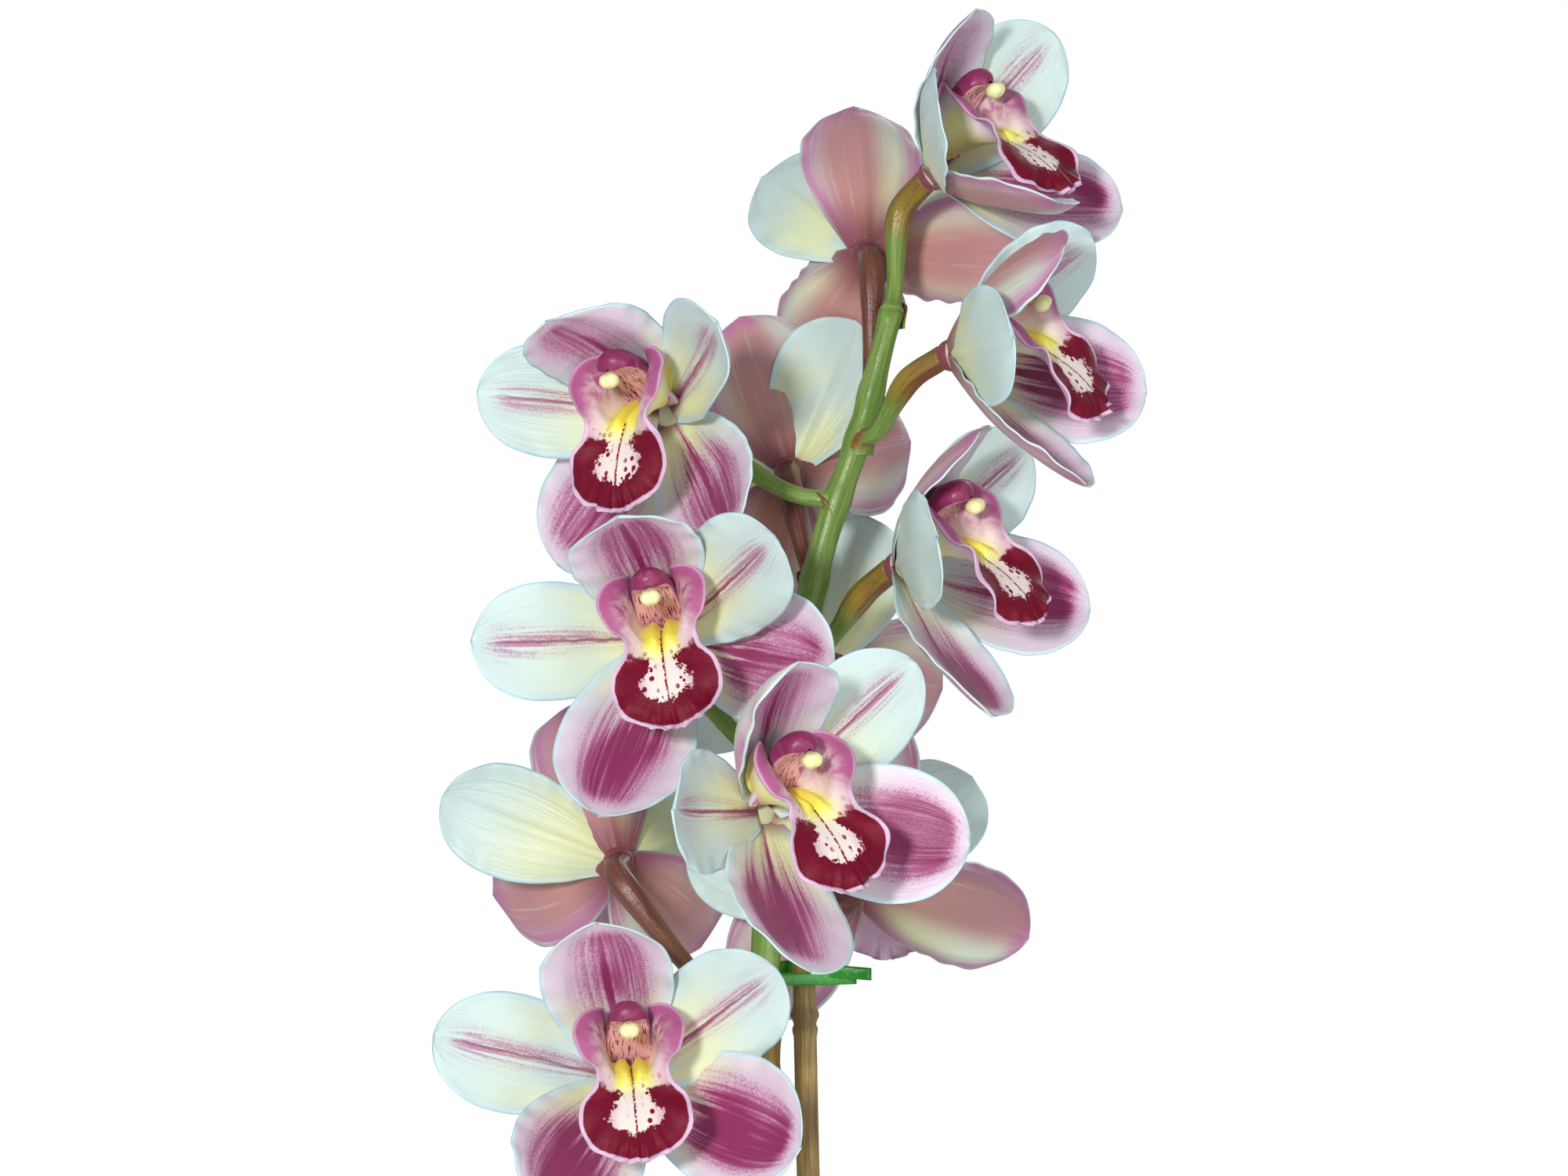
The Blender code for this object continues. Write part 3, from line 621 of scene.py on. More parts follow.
def tepal_material():
    """White petals with a crimson midrib, and sepals with a stippled magenta blush; both plainer behind."""
    make = Recipe("tepal_looks", roughness=0.42, soft=0.12, sheen=0.08)
    along, across = make.mark("along"), make.mark("across")
    side, edge = make.mark("side"), make.mark("edge")
    seed, sepal, front = make.mark("seed"), make.mark("sepal"), make.mark("front")
    spread = make.place(make.times(side, 1.0), make.times(along, 50.0), seed)
    veins = make.place(make.times(across, 16.0), make.times(along, 1.6), seed)
    patches = make.place(make.times(across, 0.9), make.times(along, 1.5), seed)
    streak = make.noise(1.0, veins, detail=4.0)
    patch = make.noise(1.0, patches, detail=1.0)
    uneven = make.add(side, make.times(make.add(make.noise(0.25, spread), -0.5), 1.4))

    ground = make.mix(make.rise(edge, 1.8, 0.2), PETAL_WHITE, MARGIN_WHITE)
    creamy = make.times(make.rise(along, 0.85, 0.15), make.rise(patch, 0.30, 0.56), make.rise(edge, 0.5, 4.0))
    ground = make.mix(creamy, ground, CREAM)

    stripe_width = make.add(0.95, make.times(along, -0.55))
    stripe = make.rise(make.apart(uneven), stripe_width, make.times(stripe_width, 0.25))
    stripe = make.times(stripe, make.rise(along, 0.95, 0.80), make.rise(streak, 0.20, 0.40))
    halo = make.rise(make.apart(uneven), make.add(4.5, make.times(along, 6.5)), 0.2)
    halo = make.times(halo, halo, make.rise(along, 1.0, 0.80), make.rise(streak, 0.30, 0.62), 0.85)
    petal = make.mix(make.times(halo, 0.52), ground, BLUSH)
    petal = make.mix(make.times(make.stipple(halo, spread, 2.9), 0.60), petal, BLUSH)
    petal = make.mix(make.times(stripe, make.add(0.86, make.times(along, -0.3))), petal, DEEP_BLUSH)
    petal = make.mix(make.times(make.rise(along, 0.30, 0.0), make.rise(make.apart(side), 2.6, 0.4), 0.85),
                     petal, CRIMSON)

    lean = make.add(across, make.mark("lean"))
    broad = make.times(make.rise(edge, 0.8, 7.5), make.rise(make.apart(lean), 1.15, 0.15))
    density = make.times(broad, make.add(0.62, make.times(make.rise(streak, 0.22, 0.68), 0.48)))
    density = make.times(density, make.mark("blush"))
    ragged = make.add(along, make.times(make.add(streak, -0.5), 0.5))
    density = make.times(density, make.rise(ragged, 0.05, 0.62))
    density = make.times(density, make.add(0.72, make.times(make.rise(patch, 0.35, 0.62), 0.5)))
    rib = make.times(make.rise(make.apart(uneven), 1.5, 0.2), make.rise(along, 0.95, 0.5))
    density = make.calculate("MINIMUM", make.add(density, make.times(rib, 0.45)), 1.0)
    pale = make.mix(make.rise(along, 0.15, 0.75), ground, LILAC_WHITE)
    pale = make.mix(make.rise(edge, 1.6, 0.2), pale, MARGIN_WHITE)
    blushed = make.mix(make.times(density, 0.86), pale, BLUSH)
    blushed = make.mix(make.times(make.stipple(density, spread, 2.6), 0.70), blushed, BLUSH)
    deep = make.times(make.rise(density, 0.50, 0.98), 0.86)
    blushed = make.mix(deep, blushed, DEEP_BLUSH)
    blushed = make.mix(make.times(make.rise(along, 0.14, 0.0), 0.8), blushed, CRIMSON)
    face = make.mix(sepal, petal, blushed)

    line = make.times(make.rise(make.apart(uneven), 0.9, 0.2), make.rise(along, 0.9, 0.3))
    petal_back = make.mix(make.times(make.rise(streak, 0.45, 0.62), make.rise(along, 0.8, 0.1), 0.6),
                          ground, CREAM)
    petal_back = make.mix(make.times(line, 0.5), petal_back, CREAM)
    band = make.times(make.rise(make.apart(make.add(lean, -0.10)), 0.88, 0.22), make.rise(streak, 0.02, 0.46))
    rim = make.times(make.rise(edge, 9.5, 1.5), make.rise(patch, 0.24, 0.46), make.rise(edge, 0.1, 1.2))
    sepal_back = make.mix(make.times(band, 0.80), make.mix(0.30, ground, CREAM), SALMON_BACK)
    sepal_back = make.mix(make.times(rim, make.rise(streak, 0.20, 0.5), 0.9), sepal_back, PURPLE_BACK)
    sepal_back = make.mix(make.times(make.rise(along, 0.36, 0.0), 0.85), sepal_back, RED_BROWN)
    behind = make.mix(sepal, petal_back, sepal_back)

    fine = make.noise(2.2, make.place(make.times(side, 1.0), make.times(along, 26.0), seed), detail=2.0)
    ridges = make.noise(1.0, make.place(make.times(across, 26.0), make.times(along, 2.0), seed), detail=2.0)
    make.bump(make.add(make.times(fine, 0.5), ridges), 0.00016)
    return make.colour(make.mix(front, behind, face))


def lip_material():
    """A maroon band with a lilac frill, yellow keels on a white floor, and mauve side lobes."""
    make = Recipe("lip_looks", roughness=0.48, soft=0.06, gloss=0.22)
    along, side, edge = make.mark("along"), make.mark("side"), make.mark("edge")
    front, seed = make.mark("front"), make.mark("seed")
    flat = make.place(side, make.times(along, 45.0), seed)
    rough = make.add(make.noise(0.55, flat, detail=3.0), -0.5)
    fine = make.add(make.noise(1.6, flat, detail=2.0), -0.5)

    middle = make.rise(make.apart(make.add(side, make.times(rough, 3.0))), 8.4, 4.6)
    floor = make.mix(make.times(middle, make.rise(along, 0.66, 0.52)), LIP_WHITE, PALE_LEMON)
    keel = make.rise(make.apart(make.add(make.apart(side), -2.8)), 3.2, 2.2)
    keel = make.times(keel, make.rise(make.add(along, make.times(rough, 0.16)), 0.60, 0.50))
    floor = make.mix(keel, floor, LEMON)
    lobes = make.rise(make.add(make.apart(side), make.times(rough, 4.0)), 6.5, 15.0)
    face = make.mix(lobes, floor, MAUVE)
    veins = make.noise(1.0, make.place(make.times(side, 0.35), make.times(along, 30.0), seed), detail=3.0)
    pale_lobe = make.times(make.rise(edge, 2.0, 7.0), make.rise(veins, 0.34, 0.62), 0.62)
    face = make.mix(make.times(lobes, pale_lobe), face, LIP_WHITE)
    face = make.mix(make.times(make.rise(edge, 1.1, 0.3), 0.55), face, LILAC)
    wash = make.times(make.rise(make.apart(side), 3.0, 8.0), make.rise(along, 0.45, 0.62), 0.55)
    face = make.mix(wash, face, MAUVE)

    spots = make.rise(make.cells(0.48, flat), 0.34, 0.27)
    spotted = make.times(spots, make.rise(make.apart(side), 1.4, 3.0), make.rise(along, 0.50, 0.62))
    face = make.mix(spotted, face, MAROON)
    thread = make.rise(make.apart(make.add(side, make.times(fine, 0.8))), 0.42, 0.20)
    thread = make.times(thread, make.rise(along, 0.22, 0.30), make.rise(fine, -0.12, -0.02))
    face = make.mix(thread, face, MAROON)

    reach = make.add(make.add(edge, make.times(rough, 5.0)), make.times(fine, 3.6))
    band = make.rise(make.add(along, make.times(rough, 0.10)), 0.575, 0.60)
    band = make.times(make.rise(reach, 7.9, 7.3), band)
    velvet = make.mix(make.noise(0.5, flat, detail=4.0), DARK_MAROON, MAROON)
    face = make.mix(band, face, velvet)
    frill = make.rise(make.add(edge, make.times(rough, 0.7)), 1.25, 0.85)
    face = make.mix(make.times(frill, make.rise(along, 0.50, 0.56)), face, LILAC)

    dashes = make.noise(1.0, make.place(make.times(side, 2.4), make.times(along, 12.0), seed), detail=2.0)
    throat = make.mix(make.rise(dashes, 0.56, 0.62), PEACH, CRIMSON)
    inside = make.times(make.rise(along, 0.24, 0.16), make.rise(make.apart(side), 9.0, 6.0))
    face = make.mix(inside, face, throat)

    outer = make.mix(make.rise(edge, 10.0, 3.5), PALE_LEMON, LILAC_WHITE)
    outer = make.mix(make.times(make.rise(edge, 5.0, 1.2), 0.75), outer, MAUVE)
    outer = make.mix(make.rise(along, 0.42, 0.62), outer, LILAC)
    outer = make.mix(make.times(make.rise(along, 0.24, 0.08), 0.7), outer, LEMON)
    make.bump(make.noise(2.4, flat, detail=2.0), 0.00018)
    return make.colour(make.mix(front, outer, face))


def column_material():
    """A magenta hood, a peach underside with dark red dashes, and a pale yellow cap at the tip."""
    make = Recipe("column_looks", roughness=0.36, soft=0.10)
    along, under = make.mark("along"), make.mark("under")
    cap, seed, side = make.mark("cap"), make.mark("seed"), make.mark("side")
    flat = make.place(side, make.times(along, 26.0), seed)
    mottle = make.noise(0.5, flat, detail=3.0)
    hood = make.mix(make.rise(along, 0.10, 0.60), LILAC_WHITE, MAUVE)
    hood = make.mix(make.times(make.rise(along, 0.30, 0.75), make.rise(mottle, 0.15, 0.5)), hood, HOOD)
    dashes = make.noise(1.0, make.place(make.times(side, 2.6), make.times(along, 9.0), seed), detail=2.0)
    dashed = make.times(make.rise(dashes, 0.54, 0.60), make.rise(along, 0.86, 0.66))
    below = make.mix(make.times(make.rise(along, 0.9, 0.5), 0.16), PEACH, BLUSH)
    below = make.mix(dashed, below, CRIMSON)
    body = make.mix(make.rise(under, 0.62, 0.76), hood, below)
    ivory = make.mix(mottle, PALE_LEMON, srgb(246, 246, 190))
    make.bump(make.noise(2.0, flat, detail=2.0), 0.00012)
    return make.colour(make.mix(cap, body, ivory))


def stem_material():
    """Glossy green with long pale streaks and painted glints, turning brown and maroon where it is flushed.
    """
    make = Recipe("stem_looks", roughness=0.34, soft=0.05)
    flush, around, length = make.mark("flush"), make.mark("around"), make.mark("length")
    streak = make.noise(2.6, make.wrapped(around, 1.0, make.times(length, 22.0)), detail=4.0)
    # Painted highlight: fine pale dots stand for glints on the glossy stalk, and they also raise small bumps.
    painted_glint = make.rise(make.cells(1500.0), 0.30, 0.12)
    green = make.mix(make.rise(streak, 0.30, 0.70), srgb(98, 134, 48), srgb(140, 166, 84))
    green = make.mix(make.times(painted_glint, 0.28), green, srgb(206, 222, 150))
    olive = make.mix(make.rise(streak, 0.34, 0.66), srgb(150, 128, 38), srgb(122, 74, 46))
    wine = make.mix(make.rise(streak, 0.30, 0.70), srgb(94, 44, 44), srgb(140, 84, 66))
    patch = make.add(flush, make.times(make.add(make.noise(60.0, detail=2.0), -0.5), 0.30))
    colour = make.mix(make.rise(patch, 0.16, 0.50), green, olive)
    colour = make.mix(make.rise(patch, 0.52, 0.88), colour, wine)
    make.bump(make.add(streak, make.times(painted_glint, 0.4)), 0.0003)
    return make.colour(colour)


def leaf_material():
    """Dark green with parallel veins, paler below and on the fold, and a little brown at the tip."""
    make = Recipe("leaf_looks", roughness=0.36, soft=0.04)
    along, across, front = make.mark("along"), make.mark("across"), make.mark("front")
    seed, edge = make.mark("seed"), make.mark("edge")
    veins = make.noise(1.0, make.place(make.times(across, 14.0), make.times(along, 3.0), seed), detail=3.0)
    cloud = make.noise(1.0, make.place(across, make.times(along, 7.0), seed), detail=3.0)
    green = make.mix(make.rise(veins, 0.32, 0.68), srgb(42, 84, 26), srgb(70, 116, 40))
    green = make.mix(make.times(make.rise(cloud, 0.45, 0.75), 0.4), green, srgb(92, 132, 46))
    green = make.mix(make.times(make.rise(make.apart(across), 0.10, 0.0), 0.5), green, srgb(128, 160, 74))
    green = make.mix(make.times(make.rise(along, 0.16, 0.0), 0.75), green, srgb(168, 178, 96))
    dry = make.rise(make.add(make.add(along, make.times(cloud, 0.03)), make.times(edge, -0.002)), 0.985, 1.01)
    green = make.mix(dry, green, srgb(124, 92, 50))
    make.bump(veins, 0.0004)
    underside = make.times(make.calculate("SUBTRACT", 1.0, front), 0.35)
    return make.colour(make.mix(underside, green, srgb(120, 152, 82)))


def bulb_material():
    """Yellow-green and ribbed, with dark rings where old leaves came away and dry skins at the foot."""
    make = Recipe("bulb_looks", roughness=0.40, soft=0.05)
    height, around, seed = make.mark("height"), make.mark("around"), make.mark("seed")
    wrapped = make.wrapped(around, 5.0, make.add(make.times(height, 3.0), seed))
    rib = make.noise(2.0, wrapped, detail=4.0)
    green = make.mix(make.rise(rib, 0.3, 0.7), srgb(96, 122, 44), srgb(150, 160, 78))
    skin = make.mix(make.rise(rib, 0.35, 0.65), srgb(176, 156, 104), srgb(128, 98, 60))
    torn = make.add(height, make.times(make.add(make.noise(1.4, wrapped, detail=3.0), -0.5), 0.5))
    colour = make.mix(make.rise(torn, 0.34, 0.24), green, skin)
    ring = make.calculate("FRACT", make.times(height, BULB_RINGS))
    rings = make.rise(make.apart(make.add(ring, -0.5)), 0.05, 0.0)
    colour = make.mix(make.times(rings, 0.6), colour, srgb(92, 74, 40))
    make.bump(rib, 0.0005)
    return make.colour(colour)


def sheath_material():
    """Dry papery bracts: straw with fine fibres and browner tips."""
    make = Recipe("sheath_looks", roughness=0.66, soft=0.08)
    along, around, seed = make.mark("along"), make.mark("around"), make.mark("seed")
    fibre = make.noise(1.0, make.place(make.times(around, 46.0), make.times(along, 1.4), seed), detail=3.0)
    colour = make.mix(make.rise(fibre, 0.32, 0.66), srgb(150, 146, 82), srgb(196, 184, 128))
    colour = make.mix(make.times(make.rise(along, 0.45, 1.0), 0.85), colour, srgb(134, 88, 58))
    make.bump(fibre, 0.0003)
    return make.colour(colour)


def bamboo_material():
    """Straw-coloured cane with long darker fibres, dark blotches of stain and painted shade, and grey-brown
    joints.
    """
    make = Recipe("bamboo_looks", roughness=0.48)
    around, length, joint = make.mark("around"), make.mark("length"), make.mark("joint")
    fibre = make.noise(2.4, make.wrapped(around, 2.2, make.times(length, 26.0)), detail=5.0)
    # Dark blotches: partly real stain on the cane, partly painted shade.
    stain_and_shade = make.noise(30.0, detail=2.0)
    straw = make.mix(make.rise(fibre, 0.30, 0.70), srgb(198, 172, 108), srgb(146, 112, 58))
    straw = make.mix(make.times(make.rise(stain_and_shade, 0.46, 0.66), 0.75), straw, srgb(104, 76, 36))
    straw = make.mix(make.times(joint, 0.75), straw, srgb(128, 98, 66))
    make.bump(fibre, 0.0003)
    return make.colour(straw)


def bark_material():
    """Chips of orchid bark, each its own brown, with a rougher grey-brown face."""
    make = Recipe("bark_looks", roughness=0.82)
    tone = make.mark("seed")
    grain = make.noise(220.0, detail=4.0)
    coarse = make.noise(70.0, detail=3.0)
    brown = make.mix(tone, srgb(92, 58, 38), srgb(150, 104, 70))
    brown = make.mix(make.rise(grain, 0.42, 0.66), brown, srgb(60, 38, 26))
    brown = make.mix(make.times(make.rise(coarse, 0.54, 0.70), 0.5), brown, srgb(168, 138, 104))
    make.bump(grain, 0.0012)
    return make.colour(brown)


def tie_material():
    """Bright green plastic strip with faint stress marks."""
    make = Recipe("tie_looks", roughness=0.30)
    cloud = make.noise(500.0, detail=2.0)
    marks = make.rise(make.noise(1600.0, detail=2.0), 0.56, 0.70)
    colour = make.mix(cloud, srgb(22, 122, 26), srgb(44, 158, 40))
    make.bump(cloud, 0.0002)
    return make.colour(make.mix(make.times(marks, 0.35), colour, srgb(120, 196, 96)))


def terracotta_material():
    """Fired clay with turning lines and a chalky bloom low down."""
    make = Recipe("terracotta_looks", roughness=0.80)
    height = make.mark("height")
    cloud = make.noise(22.0, detail=4.0)
    grit = make.noise(900.0, detail=3.0)
    lines = make.noise(1.0, make.place(0.0, 0.0, make.times(height, 900.0)), detail=2.0)
    clay = make.mix(make.rise(cloud, 0.30, 0.70), srgb(174, 96, 62), srgb(198, 122, 84))
    clay = make.mix(make.times(make.rise(grit, 0.58, 0.70), 0.5), clay, srgb(140, 74, 50))
    bloom = make.add(make.noise(14.0, detail=5.0), make.times(height, -1.2))
    clay = make.mix(make.times(make.rise(bloom, 0.40, 0.62), 0.42), clay, srgb(222, 200, 180))
    rubbed = make.times(make.rise(height, 0.159, 0.1645), make.rise(grit, 0.35, 0.6), 0.45)
    clay = make.mix(rubbed, clay, srgb(216, 152, 116))
    make.bump(make.add(lines, make.times(grit, 0.5)), 0.0004)
    return make.colour(clay)


# Flowers --------------------------------------------------------------------------------------------------

def flower_matrix(centre, turn):
    """Carries a flower from its own frame to its place on the plant."""
    yaw, pitch, roll = (math.radians(angle) for angle in turn)
    return (Matrix.Translation(centre) @ Matrix.Rotation(yaw, 4, "Z") @ Matrix.Rotation(-pitch, 4, "X")
            @ Matrix.Rotation(-roll, 4, "Y"))


def tepal_half_width(along):
    """Half-width along a tepal, as a share of its greatest, ending in a small point."""
    opening = TEPAL_BASE + (1 - TEPAL_BASE) * np.sin(0.5 * math.pi * np.clip(along / TEPAL_WIDEST, 0, 1))
    past = np.clip((along - TEPAL_WIDEST) / (1 - TEPAL_WIDEST), 0, 1)
    rounded = np.clip(1 - past ** 2.4, 0, 1) ** 0.55
    return np.where(along < TEPAL_WIDEST, opening, rounded) + 0.006


def add_tepal(shape, name, held, number, rng):
    """One tepal: the shape of its CAD twin with a grooved midrib, a rippled thin margin and a keeled back."""
    angle, base_lift, tip_lift, length = held
    rows = np.linspace(0, 1, TEPAL_ROWS)
    # The rows lie closer together toward the tip.
    rows = 0.35 * rows + 0.65 * np.sin(rows * math.pi / 2)
    columns = np.linspace(-1, 1, TEPAL_COLUMNS)
    along, across = np.meshgrid(rows, columns, indexing="ij")

    fine = np.linspace(0, 1, TEPAL_STEPS + 1)
    lift = np.radians(base_lift + (tip_lift - base_lift) * fine)
    outward = np.array((math.sin(math.radians(angle)), 0, math.cos(math.radians(angle))))
    sideways = np.array((outward[2], 0, -outward[0]))
    forward = np.array((0, -1, 0))
    heading = np.outer(np.cos(lift), outward) + np.outer(np.sin(lift), forward)
    middle = walked(heading, length * MM) + TEPAL_START * outward
    if "petal" in name:
        middle = middle + PETAL_AHEAD * forward
    middle = np.stack([np.interp(rows, fine, middle[:, k]) for k in range(3)], axis=1)
    lift = np.interp(rows, fine, lift)
    facing = np.outer(-np.sin(lift), outward) + np.outer(np.cos(lift), forward)

    half_width = WIDTH_MM[name] / 2 * MM * tepal_half_width(rows)
    curl = np.radians(CUP[name] + 15 * (1 - smoothstep(rows / 0.5)))
    bend = curl[:, None] * across
    bend -= math.radians(rng.uniform(6, 16)) * np.sign(across) * smoothstep((np.abs(across) - 0.62) / 0.38)
    bend += math.radians(rng.uniform(-7, 7)) * smoothstep(along / 0.8)
    for flower, tepal, side, turn, start in ROLLS:
        if (flower, tepal) == (number, name):
            reach = smoothstep((across * side - start) / (1 - start)) * bump(along, 0.55, 0.42)
            bend += side * math.radians(turn) * reach
    aside, risen = unrolled(bend, half_width[:, None] * (columns[1] - columns[0]))
    grid = middle[:, None] + aside[..., None] * sideways + risen[..., None] * facing[:, None]

    side = across * half_width[:, None] / MM
    tip_gap = (1 - along) * length
    edge = np.minimum((1 - np.abs(across)) * half_width[:, None] / MM, tip_gap)
    normal = surface_normals(grid)
    if np.sum(normal[:, TEPAL_COLUMNS // 2] * facing) < 0:
        normal = -normal
    swell = 0.55 * waves(along, across * 0.6, rng) * smoothstep(along / 0.4)
    ripple = 0.55 * np.abs(across) ** 4 * waves(3.2 * along, across, rng, count=3) * smoothstep(along / 0.3)
    groove = -0.42 * bump(side, 0, 1.1) * smoothstep((1 - along) / 0.5)
    veined = 0.05 * np.cos(across * 9 * math.pi) * smoothstep(edge / 3)
    grid = grid + normal * ((swell + ripple + groove + veined) * MM)[..., None]
    body = smoothstep(edge / 7) * (1.15 - 0.45 * along)
    keel = 0.45 * bump(side, 0, 1.3) * smoothstep((1 - along) / 0.4)
    add_sheet(shape, grid, normal, (0.42 + body + keel) * MM, {
        "along": along,
        "across": across,
        "side": side,
        "edge": edge,
        "seed": rng.uniform(0, TEXTURE_SHIFT),
        "sepal": 0.0 if "petal" in name else 1.0,
        "blush": DORSAL_BLUSH if name == "dorsal" else 1.0,
        "lean": rng.uniform(-0.22, 0.22),
    })


def ball(rows, sides):
    """A unit ball as a grid, from its bottom to its top, and its faces."""
    tilt = np.linspace(-math.pi / 2 * 0.995, math.pi / 2 * 0.995, rows)
    turn = np.linspace(0, 2 * math.pi, sides, endpoint=False)
    tilt, turn = np.meshgrid(tilt, turn, indexing="ij")
    grid = np.stack([np.cos(tilt) * np.cos(turn), np.cos(tilt) * np.sin(turn), np.sin(tilt)], axis=2)
    return grid, grid_faces(rows, sides, wrap=True)


def make_perianth(number, flower, material):
    """A flower's five tepals and the small hub that they grow from."""
    centre, turn, _, *tepals = flower
    rng = np.random.default_rng(TEPAL_SEED + number)
    shape = Shape("along", "across", "side", "edge", "seed", "sepal", "blush", "lean", "front")
    for name, held in zip(TEPAL_NAMES, tepals):
        add_tepal(shape, name, held, number, rng)
    hub, faces = ball(12, 20)
    ahead = (hub[..., 1] < 0).astype(float)
    hub = hub * HUB_RADIUS * (1 - HUB_FLATNESS * ahead[..., None] * np.array((0, 1, 0)))
    shape.add(hub, faces, sepal=1 - ahead, front=ahead, side=2.2, edge=4.0)
    shape.move(flower_matrix(centre, turn))
    obj = shape.build(f"flower_{number:02d}_tepals", material)
    finished(obj, "tepal", f"flower_{number:02d}_perianth")


def make_lip(number, flower, material):
    """A trough between two tall side lobes, with two keels, and a frilled mid-lobe that rolls down."""
    centre, turn = flower[:2]
    rng = np.random.default_rng(LIP_SEED + number)
    rows, columns = np.linspace(0, 1, LIP_ROWS), np.linspace(-1, 1, LIP_COLUMNS)
    along, across = np.meshgrid(rows, columns, indexing="ij")
    stations = spline(LIP_MM, rows)
    middle, upward = midline(stations)
    half_width = np.maximum(stations[:, 2], LIP_LEAST_HALF_WIDTH_MM)
    curl = np.radians(stations[:, 3])
    flare = math.radians(LIP_FLARE) * smoothstep((rows - 0.20) / 0.20) * smoothstep((0.56 - rows) / 0.10)
    middle_lobe = smoothstep((along - 0.50) / 0.12)
    trough = np.sign(across) * smoothstep(np.abs(across) / 0.56)
    bend = curl[:, None] * (trough * (1 - middle_lobe) + across * middle_lobe)
    bend -= flare[:, None] * np.sign(across) * smoothstep((np.abs(across) - 0.45) / 0.55)
    aside, risen = unrolled(bend, half_width[:, None] * (columns[1] - columns[0]))
    grid = middle[:, None] + aside[..., None] * np.array((1.0, 0, 0)) + risen[..., None] * upward[:, None]

    side = across * half_width[:, None]
    margin = np.concatenate([grid[:, 0], grid[-1], grid[:, -1]])
    gap = np.min(np.linalg.norm(grid[:, :, None] - margin[None, None], axis=3), axis=2)
    edge = np.where(along > 0.06, gap, 8.0)
    normal = surface_normals(grid)
    if normal[LIP_ROWS // 2, LIP_COLUMNS // 2, 2] < 0:
        normal = -normal
    round_lobe = np.arctan2(side, 22 * (along - 0.62))
    frill = np.sin(13 * round_lobe + rng.uniform(0, 6)) + 0.6 * np.sin(23 * round_lobe + rng.uniform(0, 6))
    frill = 0.85 * frill * np.exp(-edge / 2.6) * middle_lobe
    wave = 1.0 * waves(along * 1.4, across, rng, count=4) * smoothstep(1 - edge / 9) * (0.35 + middle_lobe)
    lobe_wave = 0.7 * np.sin(9 * math.pi * along + np.sign(across) * 1.1) * np.exp(-edge / 2.5)
    lobe_wave = lobe_wave * (1 - middle_lobe) * smoothstep((along - 0.15) / 0.1)
    keels = smoothstep((along - 0.10) / 0.08) * smoothstep((0.60 - along) / 0.12)
    keels = keels * (2.3 * np.exp(-((np.abs(side) - 2.7) / 2.1) ** 4))
    grid = grid + normal * (frill + wave + lobe_wave + keels / 2)[..., None]
    thickness = 0.55 + 0.75 * smoothstep(edge / 4) + keels
    shape = Shape("along", "side", "edge", "seed", "front")
    add_sheet(shape, grid, normal, thickness, {
        "along": along,
        "side": side,
        "edge": edge,
        "seed": rng.uniform(0, TEXTURE_SHIFT),
    })
    shape.move(flower_matrix(centre, turn), MM)
    obj = shape.build(f"flower_{number:02d}_lip_looks", material)
    finished(obj, "lip", f"flower_{number:02d}_lip")


def make_column(number, flower, material):
    """The arched column: a round hood with thin wings, hollowed below, and the anther cap at its tip."""
    centre, turn = flower[:2]
    rng = np.random.default_rng(COLUMN_SEED + number)
    rows = np.linspace(0, 1, 30)
    sides = 28
    stations = spline(COLUMN_MM, rows)
    middle, upward = midline(stations)
    angle = np.linspace(0, 2 * math.pi, sides, endpoint=False)
    closing = np.sqrt(np.clip(1 - ((rows - 0.80) / 0.205).clip(0, 1) ** 2, 0.02, 1))
    radius = (stations[:, 2] * closing)[:, None]
    wings = 1.12 + 1.0 * (1 - smoothstep(rows / 0.72))[:, None]
    rise = np.cos(angle)
    rise = np.where(rise > 0, 1.02 * rise, 0.62 * rise * (1 - 0.85 * rise ** 2))
    grid = middle[:, None] + (wings * radius * np.sin(angle))[..., None] * np.array((1.0, 0, 0))
    grid = grid + (radius * rise)[..., None] * upward[:, None]
    along = np.repeat(rows[:, None], sides, axis=1)
    under = np.repeat(((1 - np.cos(angle)) / 2)[None], len(rows), axis=0)
    shape = Shape("along", "under", "side", "cap", "seed")
    seed = rng.uniform(0, TEXTURE_SHIFT)
    faces = grid_faces(len(rows), sides, wrap=True)
    shape.add(grid, faces, along=along, under=under, side=grid[..., 0], seed=seed)
    cap, faces = ball(12, 18)
    cleft = 1 - 0.16 * bump(cap[..., 0], 0, 0.22) * (cap[..., 1] < 0)
    cap = cap * cleft[..., None] * np.array((2.7, 2.7, 2.1)) + np.array((0, -29.0, 9.8))
    shape.add(cap, faces, cap=1.0, seed=seed)
    shape.move(flower_matrix(centre, turn), MM)
    obj = shape.build(f"flower_{number:02d}_column_looks", material)
    finished(obj, "column", f"flower_{number:02d}_column")


# Stem, stake and ties -------------------------------------------------------------------------------------

def stalk_at(height):
    """The middle of the stalk and its radius at a height."""
    heights = [place[2] for place, _ in STALK]
    place = [np.interp(height, heights, [place[axis] for place, _ in STALK]) for axis in range(3)]
    return np.array(place), float(np.interp(height, heights, [radius for _, radius in STALK]))


def path_length(route):
    """How far along a route each of its points lies."""
    return np.concatenate([[0], np.cumsum(np.linalg.norm(np.diff(route, axis=0), axis=1))])


